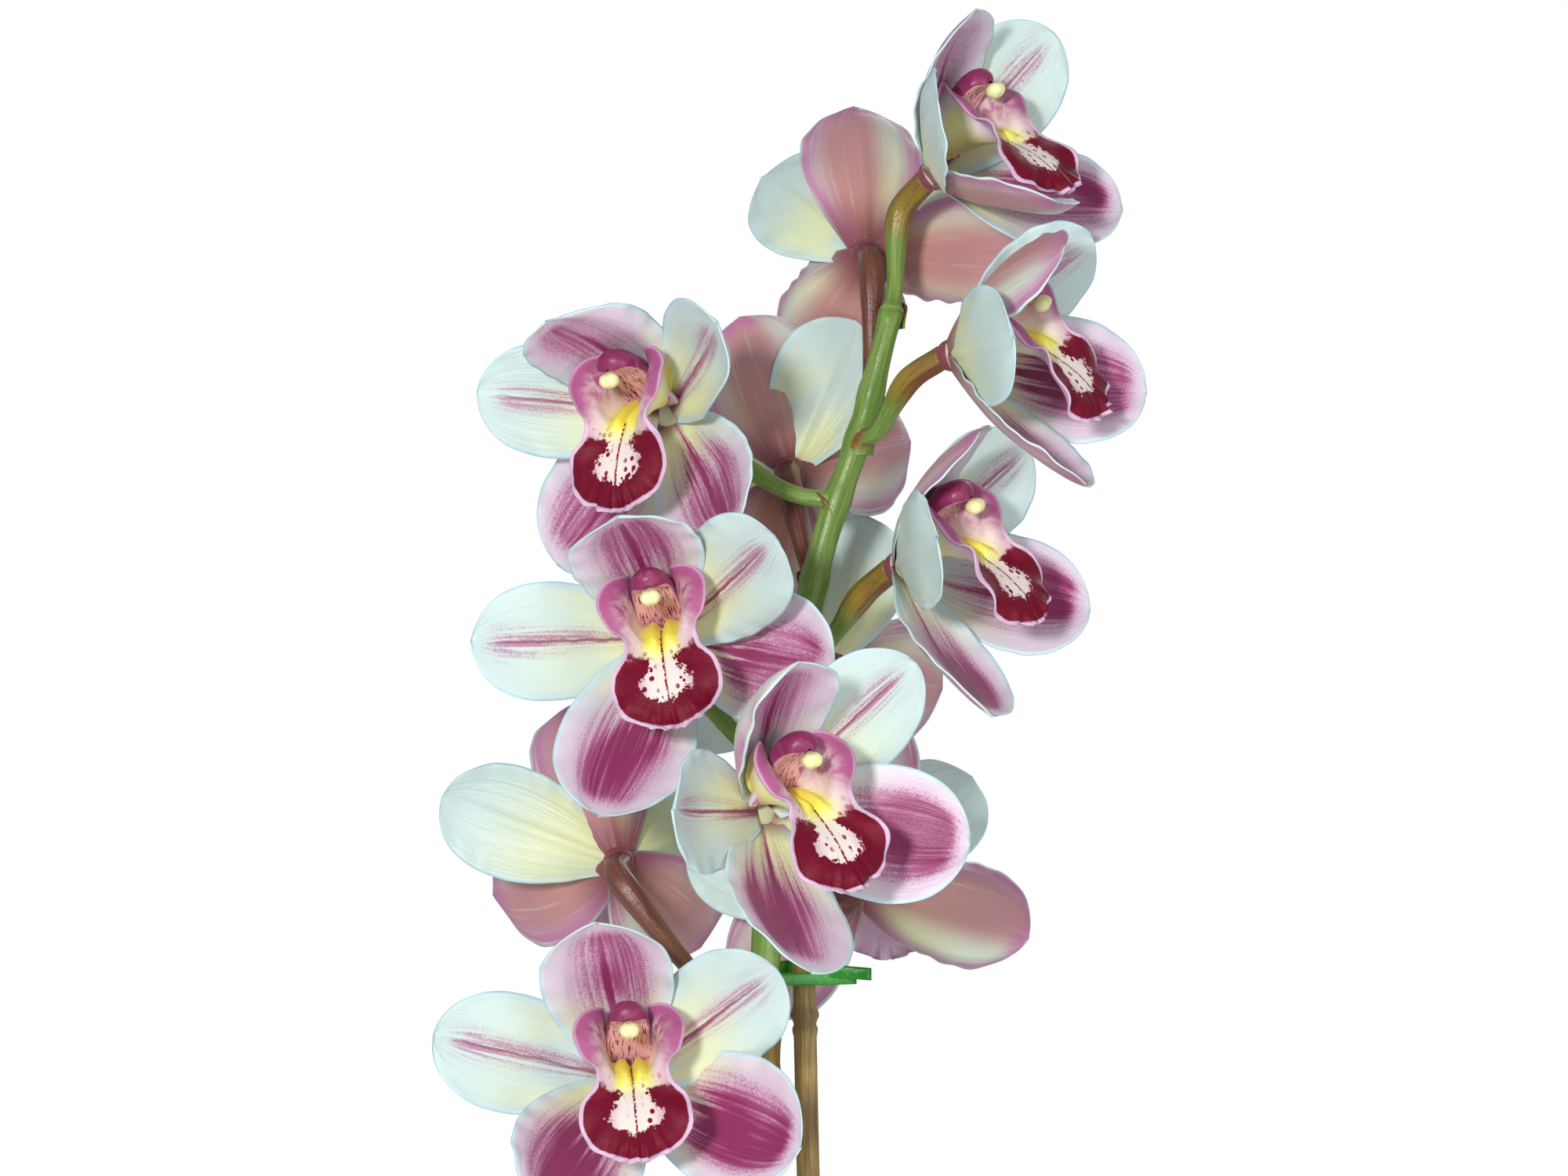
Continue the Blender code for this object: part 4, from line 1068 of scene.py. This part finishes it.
def make_stem(material):
    """The stalk, swollen a little at each node, with a scale leaf and a flower's stalk from every node."""
    shape = Shape("around", "length", "flush")
    steps = 12 * (len(STALK) - 1) + 1
    route = spline([place for place, _ in STALK], np.linspace(0, 1, steps))
    radii = np.interp(route[:, 2], [place[2] for place, _ in STALK], [radius for _, radius in STALK])
    for _, _, node, *_ in FLOWERS:
        radii += 0.0006 * bump(route[:, 2], node, 0.004)
    flush = 0.55 * bump(route[:, 2], 0.425, 0.03) + 0.4 * smoothstep((0.24 - route[:, 2]) / 0.1)
    around = np.linspace(0, 2 * math.pi, STEM_SIDES, endpoint=False)
    ridged = radii[:, None] * (1 + 0.035 * np.cos(5 * around)[None])
    add_tube(shape, route, ridged, {"length": path_length(route), "flush": flush})
    for number, (centre, turn, height, *_) in enumerate(FLOWERS, start=1):
        node, _ = stalk_at(height)
        centre = np.array(centre)
        backward = np.array(flower_matrix(centre, turn).to_3x3() @ Vector((0, 1, 0)))
        behind = centre + backward * OVARY_BACK - np.array((0, 0, OVARY_DROP))
        out = (behind - node) / np.linalg.norm(behind - node)
        low = node + PEDICEL_BEND * (behind - node) - np.array((0, 0, PEDICEL_SAG)) + PEDICEL_REACH * out
        route = spline([node, low, behind, centre + backward * (HUB_RADIUS * 0.6)], np.linspace(0, 1, 34))
        share = np.linspace(0, 1, len(route))
        radii = PEDICEL_RADIUS + (OVARY_RADIUS - PEDICEL_RADIUS) * smoothstep((share - 0.35) / 0.4)
        radii = radii + 0.0011 * bump(share, 0, 0.09) + 0.0004 * bump(share, 0.62, 0.1)
        groove = 0.06 * np.cos(6 * around)[None] * smoothstep((share[:, None] - 0.3) / 0.3)
        flush = FLUSH.get(number, 0.0) * smoothstep(share / 0.25)
        flush = np.maximum(flush, 0.62 * smoothstep((share - 0.25) / 0.6))
        add_tube(shape, route, radii[:, None] * (1 + groove), {"length": path_length(route), "flush": flush})
        add_scale(shape, node, behind - node, height)
    obj = shape.build("flower_stem_looks", material)
    finished(obj, "stem", "flower_stem")


def add_scale(shape, node, direction, height):
    """A short pointed scale leaf that clasps the stalk under a flower's stalk."""
    _, radius = stalk_at(height)
    heading = math.atan2(direction[1], direction[0])
    rows, columns = np.meshgrid(np.linspace(0, 1, 9), np.linspace(-1, 1, 11), indexing="ij")
    spread = 1.25 * columns * np.sqrt(np.clip(1.01 - rows ** 1.5, 0, 1))
    away = radius + 0.0004 + 0.0022 * rows ** 2
    angle = heading + spread
    grid = np.stack([away * np.cos(angle), away * np.sin(angle), -0.0045 + 0.0075 * rows], axis=2) + node
    outward = np.stack([np.cos(angle), np.sin(angle), np.zeros_like(angle)], axis=2)
    ring = ringed(grid + outward * SCALE_HALF_THICKNESS, grid - outward * SCALE_HALF_THICKNESS)
    marks = {"around": columns / 4 + 0.5, "length": rows * 0.01, "flush": 0.15 + 0.75 * rows}
    marks = {name: ringed(values, values) for name, values in marks.items()}
    shape.add(ring, grid_faces(*ring.shape[:2], wrap=True)[:, ::-1], **marks)


def stake_at(height):
    """The middle of the stake at a height."""
    share = (height - STAKE_FOOT[2]) / (STAKE_TOP[2] - STAKE_FOOT[2])
    return STAKE_FOOT + share * (STAKE_TOP - STAKE_FOOT)


def make_stake(material):
    """A thin cane with a raised double ring at every joint."""
    length = float(np.linalg.norm(STAKE_TOP - STAKE_FOOT))
    places = np.linspace(0, length, STAKE_RINGS)
    radii = np.full(len(places), STAKE_RADIUS)
    joint = np.zeros(len(places))
    for at in np.arange(length - TOP_TO_JOINT, 0.02, -JOINT_SPACING):
        radii += 0.0008 * bump(places, at, 0.0016) + 0.0004 * bump(places, at - 0.004, 0.0012)
        radii -= 0.0003 * bump(places, at - 0.0022, 0.0007)
        joint += bump(places, at - 0.001, 0.0035)
    route = STAKE_FOOT + (places / length)[:, None] * (STAKE_TOP - STAKE_FOOT)
    sway = 0.0005 * np.sin(places * 31)
    route = route + np.stack([sway, 0.6 * sway, np.zeros_like(sway)], axis=1)
    shape = Shape("around", "length", "joint")
    around = np.linspace(0, 2 * math.pi, STAKE_SIDES, endpoint=False)
    flattened = radii[:, None] * (1 + 0.03 * np.cos(2 * around)[None])
    add_tube(shape, route, flattened, {"length": places, "joint": np.clip(joint, 0, 1)})
    finished(shape.build("bamboo_stake_looks", material), "bamboo", "bamboo_stake")


def make_tie(index, height, material):
    """A narrow plastic strip once round the stalk and the stake, crossed and left with two free ends."""
    stalk, stalk_radius = stalk_at(height)
    stake = stake_at(height)
    direction = math.atan2(stake[1] - stalk[1], stake[0] - stalk[0])
    loop = []
    for centre, radius, first in ((stake, STAKE_RADIUS + 0.0014, -90), (stalk, stalk_radius + 0.0011, 90)):
        for turn in range(0, 181, 15):
            angle = direction + math.radians(first + turn)
            loop.append((centre[0] + radius * math.cos(angle), centre[1] + radius * math.sin(angle)))
    start = np.array(loop[0])
    tail = [start + bend for bend in TIE_TAIL]
    other = [start + bend for bend in TIE_OTHER_TAIL]
    share = np.linspace(0, 1, TIE_ROWS)
    route = spline(np.array(tail + loop + other), share)
    level = height + 0.0012 * np.sin(share * 5.5) + 0.0006 * np.sin(share * 17)
    across = np.linspace(-1, 1, TIE_COLUMNS)
    grid = np.zeros((TIE_ROWS, TIE_COLUMNS, 3))
    grid[..., :2] = route[:, None]
    grid[..., 2] = level[:, None] + TIE_HALF_WIDTH * across[None]
    shape = Shape()
    add_sheet(shape, grid, surface_normals(grid), TIE_EDGE + TIE_SWELL * (1 - across ** 2), {})
    finished(shape.build(f"tie_{index}_looks", material), "tie", f"tie_{index}")


def make_sheath(index, height, material):
    """A papery bract that clasps the stalk and ends in a long point on one side."""
    low, low_radius = stalk_at(height)
    high, _ = stalk_at(height + SHEATH_LENGTH)
    rng = np.random.default_rng(SHEATH_SEED + index)
    heading = rng.uniform(0, 2 * math.pi)
    rows, columns = np.meshgrid(np.linspace(0, 1, 26), np.linspace(-1, 1, 49), indexing="ij")
    reach = 0.45 + 0.62 * np.cos(columns * math.pi / 2) ** 1.5
    share = rows * reach
    spare = 0.0007 + 0.0036 * share ** 1.7 + 0.0004 * np.abs(columns) ** 6
    angle = heading + columns * math.radians(SHEATH_WRAP)
    away = low_radius + spare
    middle = low + share[..., None] * (high - low)
    outward = np.stack([np.cos(angle), np.sin(angle), np.zeros_like(angle)], axis=2)
    grid = middle + outward * (away + 0.00025 * waves(rows, columns * 2, rng))[..., None]
    shape = Shape("along", "around", "seed")
    add_sheet(shape, grid, outward, SHEATH_THICKNESS, {
        "along": share,
        "around": columns,
        "seed": rng.uniform(0, TEXTURE_SHIFT),
    })
    finished(shape.build(f"sheath_{index}_looks", material), "sheath", f"sheath_{index}")


# Bulbs and leaves -----------------------------------------------------------------------------------------

def bulb_centre(index):
    """The middle of a bulb, part of which is in the mix."""
    (x, y), _, height = BULBS[index]
    return np.array((x, y, MIX_LEVEL - BULB_DEPTH + height / 2))


def make_bulb(index, material):
    """A ribbed pseudobulb with the stepped scars of its old leaves."""
    _, radius, height = BULBS[index]
    unit, faces = ball(BULB_ROWS, BULB_SIDES)
    around = np.arctan2(unit[..., 1], unit[..., 0]) / (2 * math.pi) + 0.5
    level = unit[..., 2] / 2 + 0.5
    taper = 1 - 0.22 * unit[..., 2]
    ribs = 1 + 0.022 * np.abs(np.sin(9 * math.pi * around + index)) * smoothstep(1 - np.abs(unit[..., 2]))
    scars = 1 - 0.03 * bump((level * BULB_RINGS) % 1, 0.5, 0.07) * smoothstep(1 - np.abs(unit[..., 2]))
    wide = taper * ribs * scars * radius
    points = np.stack([unit[..., 0] * wide, unit[..., 1] * wide, unit[..., 2] * height / 2], axis=2)
    shape = Shape("height", "around", "seed")
    shape.add(points + bulb_centre(index), faces, height=level, around=around, seed=7.0 * index)
    name = f"pseudobulb_{index + 1}"
    finished(shape.build(name + "_looks", material), "bulb", name)


def make_leaf(index, leaf, material):
    """A strap leaf with a sharp fold, fine lengthwise ridges, a slow twist and a pointed tip."""
    bulb, heading, length, rise = leaf
    rng = np.random.default_rng(LEAF_SEED + index)
    rows = np.linspace(0, 1, LEAF_ROWS)
    fine = np.linspace(0, 1, LEAF_STEPS + 1)
    slope = np.radians(rise - LEAF_DROOP * fine)
    out, up = walked(np.cos(slope), length), walked(np.sin(slope), length)
    out, up, slope = (np.interp(rows, fine, values) for values in (out, up, slope))
    half = LEAF_WIDTH / 2 * np.minimum(0.26 + 1.6 * rows, 1) * np.sqrt(np.clip(1.0005 - rows ** 6, 0, 1))
    half *= 1 - 0.25 * smoothstep((rows - 0.82) / 0.18)
    fold = np.radians(38 - 22 * rows)
    columns = np.linspace(-1, 1, LEAF_COLUMNS)
    along, across = np.meshgrid(rows, columns, indexing="ij")
    outward = np.array((math.cos(math.radians(heading)), math.sin(math.radians(heading)), 0))
    sideways = np.array((-outward[1], outward[0], 0))
    upright = np.outer(-np.sin(slope), outward) + np.outer(np.cos(slope), (0, 0, 1))
    top = bulb_centre(bulb) + np.array((0, 0, BULBS[bulb][2] / 2))
    start = top + LEAF_OFFSET * outward - np.array((0, 0, LEAF_DROP))
    middle = start + np.outer(out, outward) + np.outer(up, (0, 0, 1))
    twist = math.radians(rng.uniform(-7, 7)) * smoothstep(rows)
    aside = (half * np.cos(fold))[:, None] * across
    vee = np.sqrt(across ** 2 + 0.004) - math.sqrt(0.004)
    lifted = (half * np.sin(fold))[:, None] * vee
    turned_aside = aside * np.cos(twist)[:, None] - lifted * np.sin(twist)[:, None]
    turned_lift = aside * np.sin(twist)[:, None] + lifted * np.cos(twist)[:, None]
    sway = 0.0025 * waves(rows, 0 * rows, rng, count=3) * smoothstep(rows / 0.3)
    grid = middle[:, None] + (turned_aside + sway[:, None])[..., None] * sideways
    grid = grid + turned_lift[..., None] * upright[:, None]
    normal = surface_normals(grid)
    if np.sum(normal[:, LEAF_COLUMNS // 2] * upright) < 0:
        normal = -normal
    ridges = 0.00012 * np.cos(across * 11 * math.pi) * (np.abs(across) < 0.95)
    grid = grid + normal * ridges[..., None]
    edge = (1 - np.abs(across)) * half[:, None] / MM
    thickness = 0.0006 + 0.0009 * smoothstep(edge / 5)
    shape = Shape("along", "across", "edge", "seed", "front")
    add_sheet(shape, grid, normal, thickness, {
        "along": along,
        "across": across,
        "edge": edge,
        "seed": rng.uniform(0, TEXTURE_SHIFT),
    })
    name = f"leaf_{index}"
    finished(shape.build(name + "_looks", material), "leaf", name)


# Pot and bark ---------------------------------------------------------------------------------------------

def pot_radius(height):
    """The pot's outer radius below its rim."""
    return POT_BASE_RADIUS + (POT_RIM_RADIUS - RIM_STEP - POT_BASE_RADIUS) * height / POT_HEIGHT


def rounded(profile, radius, steps=5):
    """The profile with each inner corner replaced by a short curve."""
    profile = [np.array(corner, float) for corner in profile]
    result = [profile[0]]
    for before, corner, after in zip(profile, profile[1:], profile[2:]):
        reach = min(radius, np.linalg.norm(before - corner) / 2.2, np.linalg.norm(after - corner) / 2.2)
        one = corner + (before - corner) / np.linalg.norm(before - corner) * reach
        two = corner + (after - corner) / np.linalg.norm(after - corner) * reach
        for t in np.linspace(0, 1, steps):
            result.append((1 - t) ** 2 * one + 2 * t * (1 - t) * corner + t ** 2 * two)
    return np.array(result + [profile[-1]])


def turned_grid(profile, sides):
    """A profile of (radius, height) turned round the upright axis."""
    angle = np.linspace(0, 2 * math.pi, sides, endpoint=False)
    radius, height = profile[:, 0, None], profile[:, 1, None]
    return np.stack([radius * np.cos(angle), radius * np.sin(angle), height + 0 * angle], axis=2)


def make_pot(material):
    """A plain clay pot with a thick rim, soft edges and drain holes in its floor."""
    rim_foot = POT_HEIGHT - RIM_HEIGHT
    profile = rounded([
        (AXIS_GAP, POT_FLOOR),
        (pot_radius(POT_FLOOR) - POT_WALL, POT_FLOOR),
        (pot_radius(POT_HEIGHT) - POT_WALL, POT_HEIGHT),
        (POT_RIM_RADIUS, POT_HEIGHT),
        (POT_RIM_RADIUS - RIM_SLANT, rim_foot),
        (pot_radius(rim_foot), rim_foot - RIM_SLANT),
        (POT_BASE_RADIUS, 0),
        (AXIS_GAP, 0),
    ], EDGE_ROUNDING)
    fine = [profile[:1]]
    for one, two in zip(profile, profile[1:]):
        parts = max(1, int(np.linalg.norm(two - one) / POT_RING_SPACING))
        fine.append(one + (two - one) * (np.arange(1, parts + 1) / parts)[:, None])
    profile = np.vstack(fine)
    grid = turned_grid(profile, POT_SIDES)
    shape = Shape("height")
    shape.add(grid, grid_faces(len(profile), POT_SIDES, wrap=True)[:, ::-1], height=grid[..., 2])
    body = shape.build("pot_looks", material)
    for index in range(DRAIN_COUNT):
        angle = 2 * math.pi * index / DRAIN_COUNT
        middle = np.array((DRAIN_RING * math.cos(angle), DRAIN_RING * math.sin(angle), 0))
        drill = Shape("height")
        low, high = DRILL_ENDS
        ends = [(DRILL_AXIS_GAP, low), (DRAIN_RADIUS, low), (DRAIN_RADIUS, high), (DRILL_AXIS_GAP, high)]
        grid = turned_grid(np.array(ends), DRAIN_SIDES) + middle
        drill.add(grid, grid_faces(len(ends), DRAIN_SIDES, wrap=True))
        cutter = drill.build(f"drain_{index}")
        cut = body.modifiers.new("Drain", "BOOLEAN")
        cut.operation = "DIFFERENCE"
        cut.object = cutter
        bpy.context.view_layer.objects.active = body
        bpy.ops.object.modifier_apply(modifier=cut.name)
        bpy.data.objects.remove(cutter)
    finished(body, "terracotta", "pot")


def make_mix(material):
    """The bark mix: a plain body under several hundred separate chips."""
    rng = np.random.default_rng(MIX_SEED)
    low = POT_FLOOR + 0.001
    top_radius = pot_radius(MIX_LEVEL) - POT_WALL - MIX_GAP
    body_top = MIX_LEVEL - CHIP_LAYER
    inner, outer = top_radius * 0.35, top_radius * 0.7
    profile = [(radius, body_top) for radius in (MIX_AXIS_GAP, inner, outer, top_radius)]
    profile += [(pot_radius(low) - POT_WALL - MIX_GAP, low), (MIX_AXIS_GAP, low)]
    grid = turned_grid(np.array(profile), MIX_SIDES)
    shape = Shape("seed")
    shape.add(grid, grid_faces(len(profile), MIX_SIDES, wrap=True)[:, ::-1], seed=0.1)
    for _ in range(CHIPS):
        away = (top_radius - CHIP_MARGIN) * math.sqrt(rng.uniform(0, 1))
        heading = rng.uniform(0, 2 * math.pi)
        size = np.array((rng.uniform(0.0045, 0.0095), rng.uniform(0.003, 0.006), rng.uniform(0.0014, 0.0030)))
        chip, faces = ball(CHIP_ROWS, CHIP_SIDES)
        chip = np.sign(chip) * np.abs(chip) ** 0.55
        chip = chip * (1 + 0.16 * rng.standard_normal(chip.shape[:2] + (1,))) * size
        turn = Matrix.Rotation(rng.uniform(0, 2 * math.pi), 3, "Z")
        turn = turn @ Matrix.Rotation(rng.normal(0, CHIP_TILT), 3, "X")
        turn = np.array(turn @ Matrix.Rotation(rng.normal(0, CHIP_TILT), 3, "Y"))
        level = MIX_LEVEL - rng.uniform(0.0, 0.006)
        where = np.array((away * math.cos(heading), away * math.sin(heading), level))
        shape.add(chip @ turn.T + where, faces, seed=rng.uniform(0, 1))
    finished(shape.build("potting_mix_looks", material), "bark", "potting_mix")


# The room -------------------------------------------------------------------------------------------------

def make_floor():
    """A pale round floor under the pot."""
    profile = np.array([(radius, FLOOR_LEVEL) for radius in FLOOR_RINGS])
    grid = turned_grid(profile, FLOOR_SIDES)
    shape = Shape()
    shape.add(grid, grid_faces(len(profile), FLOOR_SIDES, wrap=True)[:, ::-1])
    make = Recipe("floor_looks", roughness=0.9)
    paper = make.noise(3.0, detail=2.0)
    paint = make.mix(paper, srgb(238, 238, 238), srgb(243, 243, 243))
    floor = shape.build("floor", make.colour(paint))


def add_light(name, place, target, size, power):
    """A square area light that points at its target."""
    data = bpy.data.lights.new(name, "AREA")
    data.size = size
    data.energy = power
    light = bpy.data.objects.new(name, data)
    light.location = place
    light.rotation_euler = (Vector(target) - Vector(place)).to_track_quat("-Z", "Y").to_euler()
    bpy.context.scene.collection.objects.link(light)


def make_room():
    """White surroundings with a faint glow, the lights and the camera."""
    world = bpy.data.worlds.new("studio")
    world.use_nodes = True
    tree = world.node_tree
    tree.nodes.clear()
    seen = tree.nodes.new("ShaderNodeBackground")
    glow = tree.nodes.new("ShaderNodeBackground")
    seen.inputs["Color"].default_value = (1, 1, 1, 1)
    seen.inputs["Strength"].default_value = 1.0
    glow.inputs["Color"].default_value = GLOW_COLOUR
    glow.inputs["Strength"].default_value = GLOW_STRENGTH
    # The camera sees plain white, and the plant is lit by the glow.
    path = tree.nodes.new("ShaderNodeLightPath")
    blend = tree.nodes.new("ShaderNodeMixShader")
    output = tree.nodes.new("ShaderNodeOutputWorld")
    tree.links.new(path.outputs["Is Camera Ray"], blend.inputs[0])
    tree.links.new(glow.outputs[0], blend.inputs[1])
    tree.links.new(seen.outputs[0], blend.inputs[2])
    tree.links.new(blend.outputs[0], output.inputs[0])
    scene = bpy.context.scene
    scene.world = world
    scene.view_settings.view_transform = "Standard"
    for light in LIGHTS:
        add_light(*light)
    camera = bpy.data.cameras.new("camera")
    camera.sensor_width = SENSOR_MM
    camera.lens = camera.sensor_width * -CAMERA[1] / FRAME_WIDTH
    view = bpy.data.objects.new("camera", camera)
    view.location = CAMERA
    view.rotation_euler = (math.radians(90), 0, 0)
    scene.collection.objects.link(view)
    scene.camera = view


# The whole plant ------------------------------------------------------------------------------------------

def make_plant():
    """Every piece of the plant, its pot and its stake."""
    tepal, lip, column = tepal_material(), lip_material(), column_material()
    for number, flower in enumerate(FLOWERS, start=1):
        make_perianth(number, flower, tepal)
        make_lip(number, flower, lip)
        make_column(number, flower, column)
    make_stem(stem_material())
    make_stake(bamboo_material())
    green, papery, leafy, bulb = tie_material(), sheath_material(), leaf_material(), bulb_material()
    for index, height in enumerate(TIE_HEIGHTS, start=1):
        make_tie(index, height, green)
    for index, height in enumerate(SHEATH_HEIGHTS, start=1):
        make_sheath(index, height, papery)
    for index in range(len(BULBS)):
        make_bulb(index, bulb)
    for index, leaf in enumerate(LEAVES, start=1):
        make_leaf(index, leaf, leafy)
    make_pot(terracotta_material())
    make_mix(bark_material())


make_plant()
make_floor()
make_room()
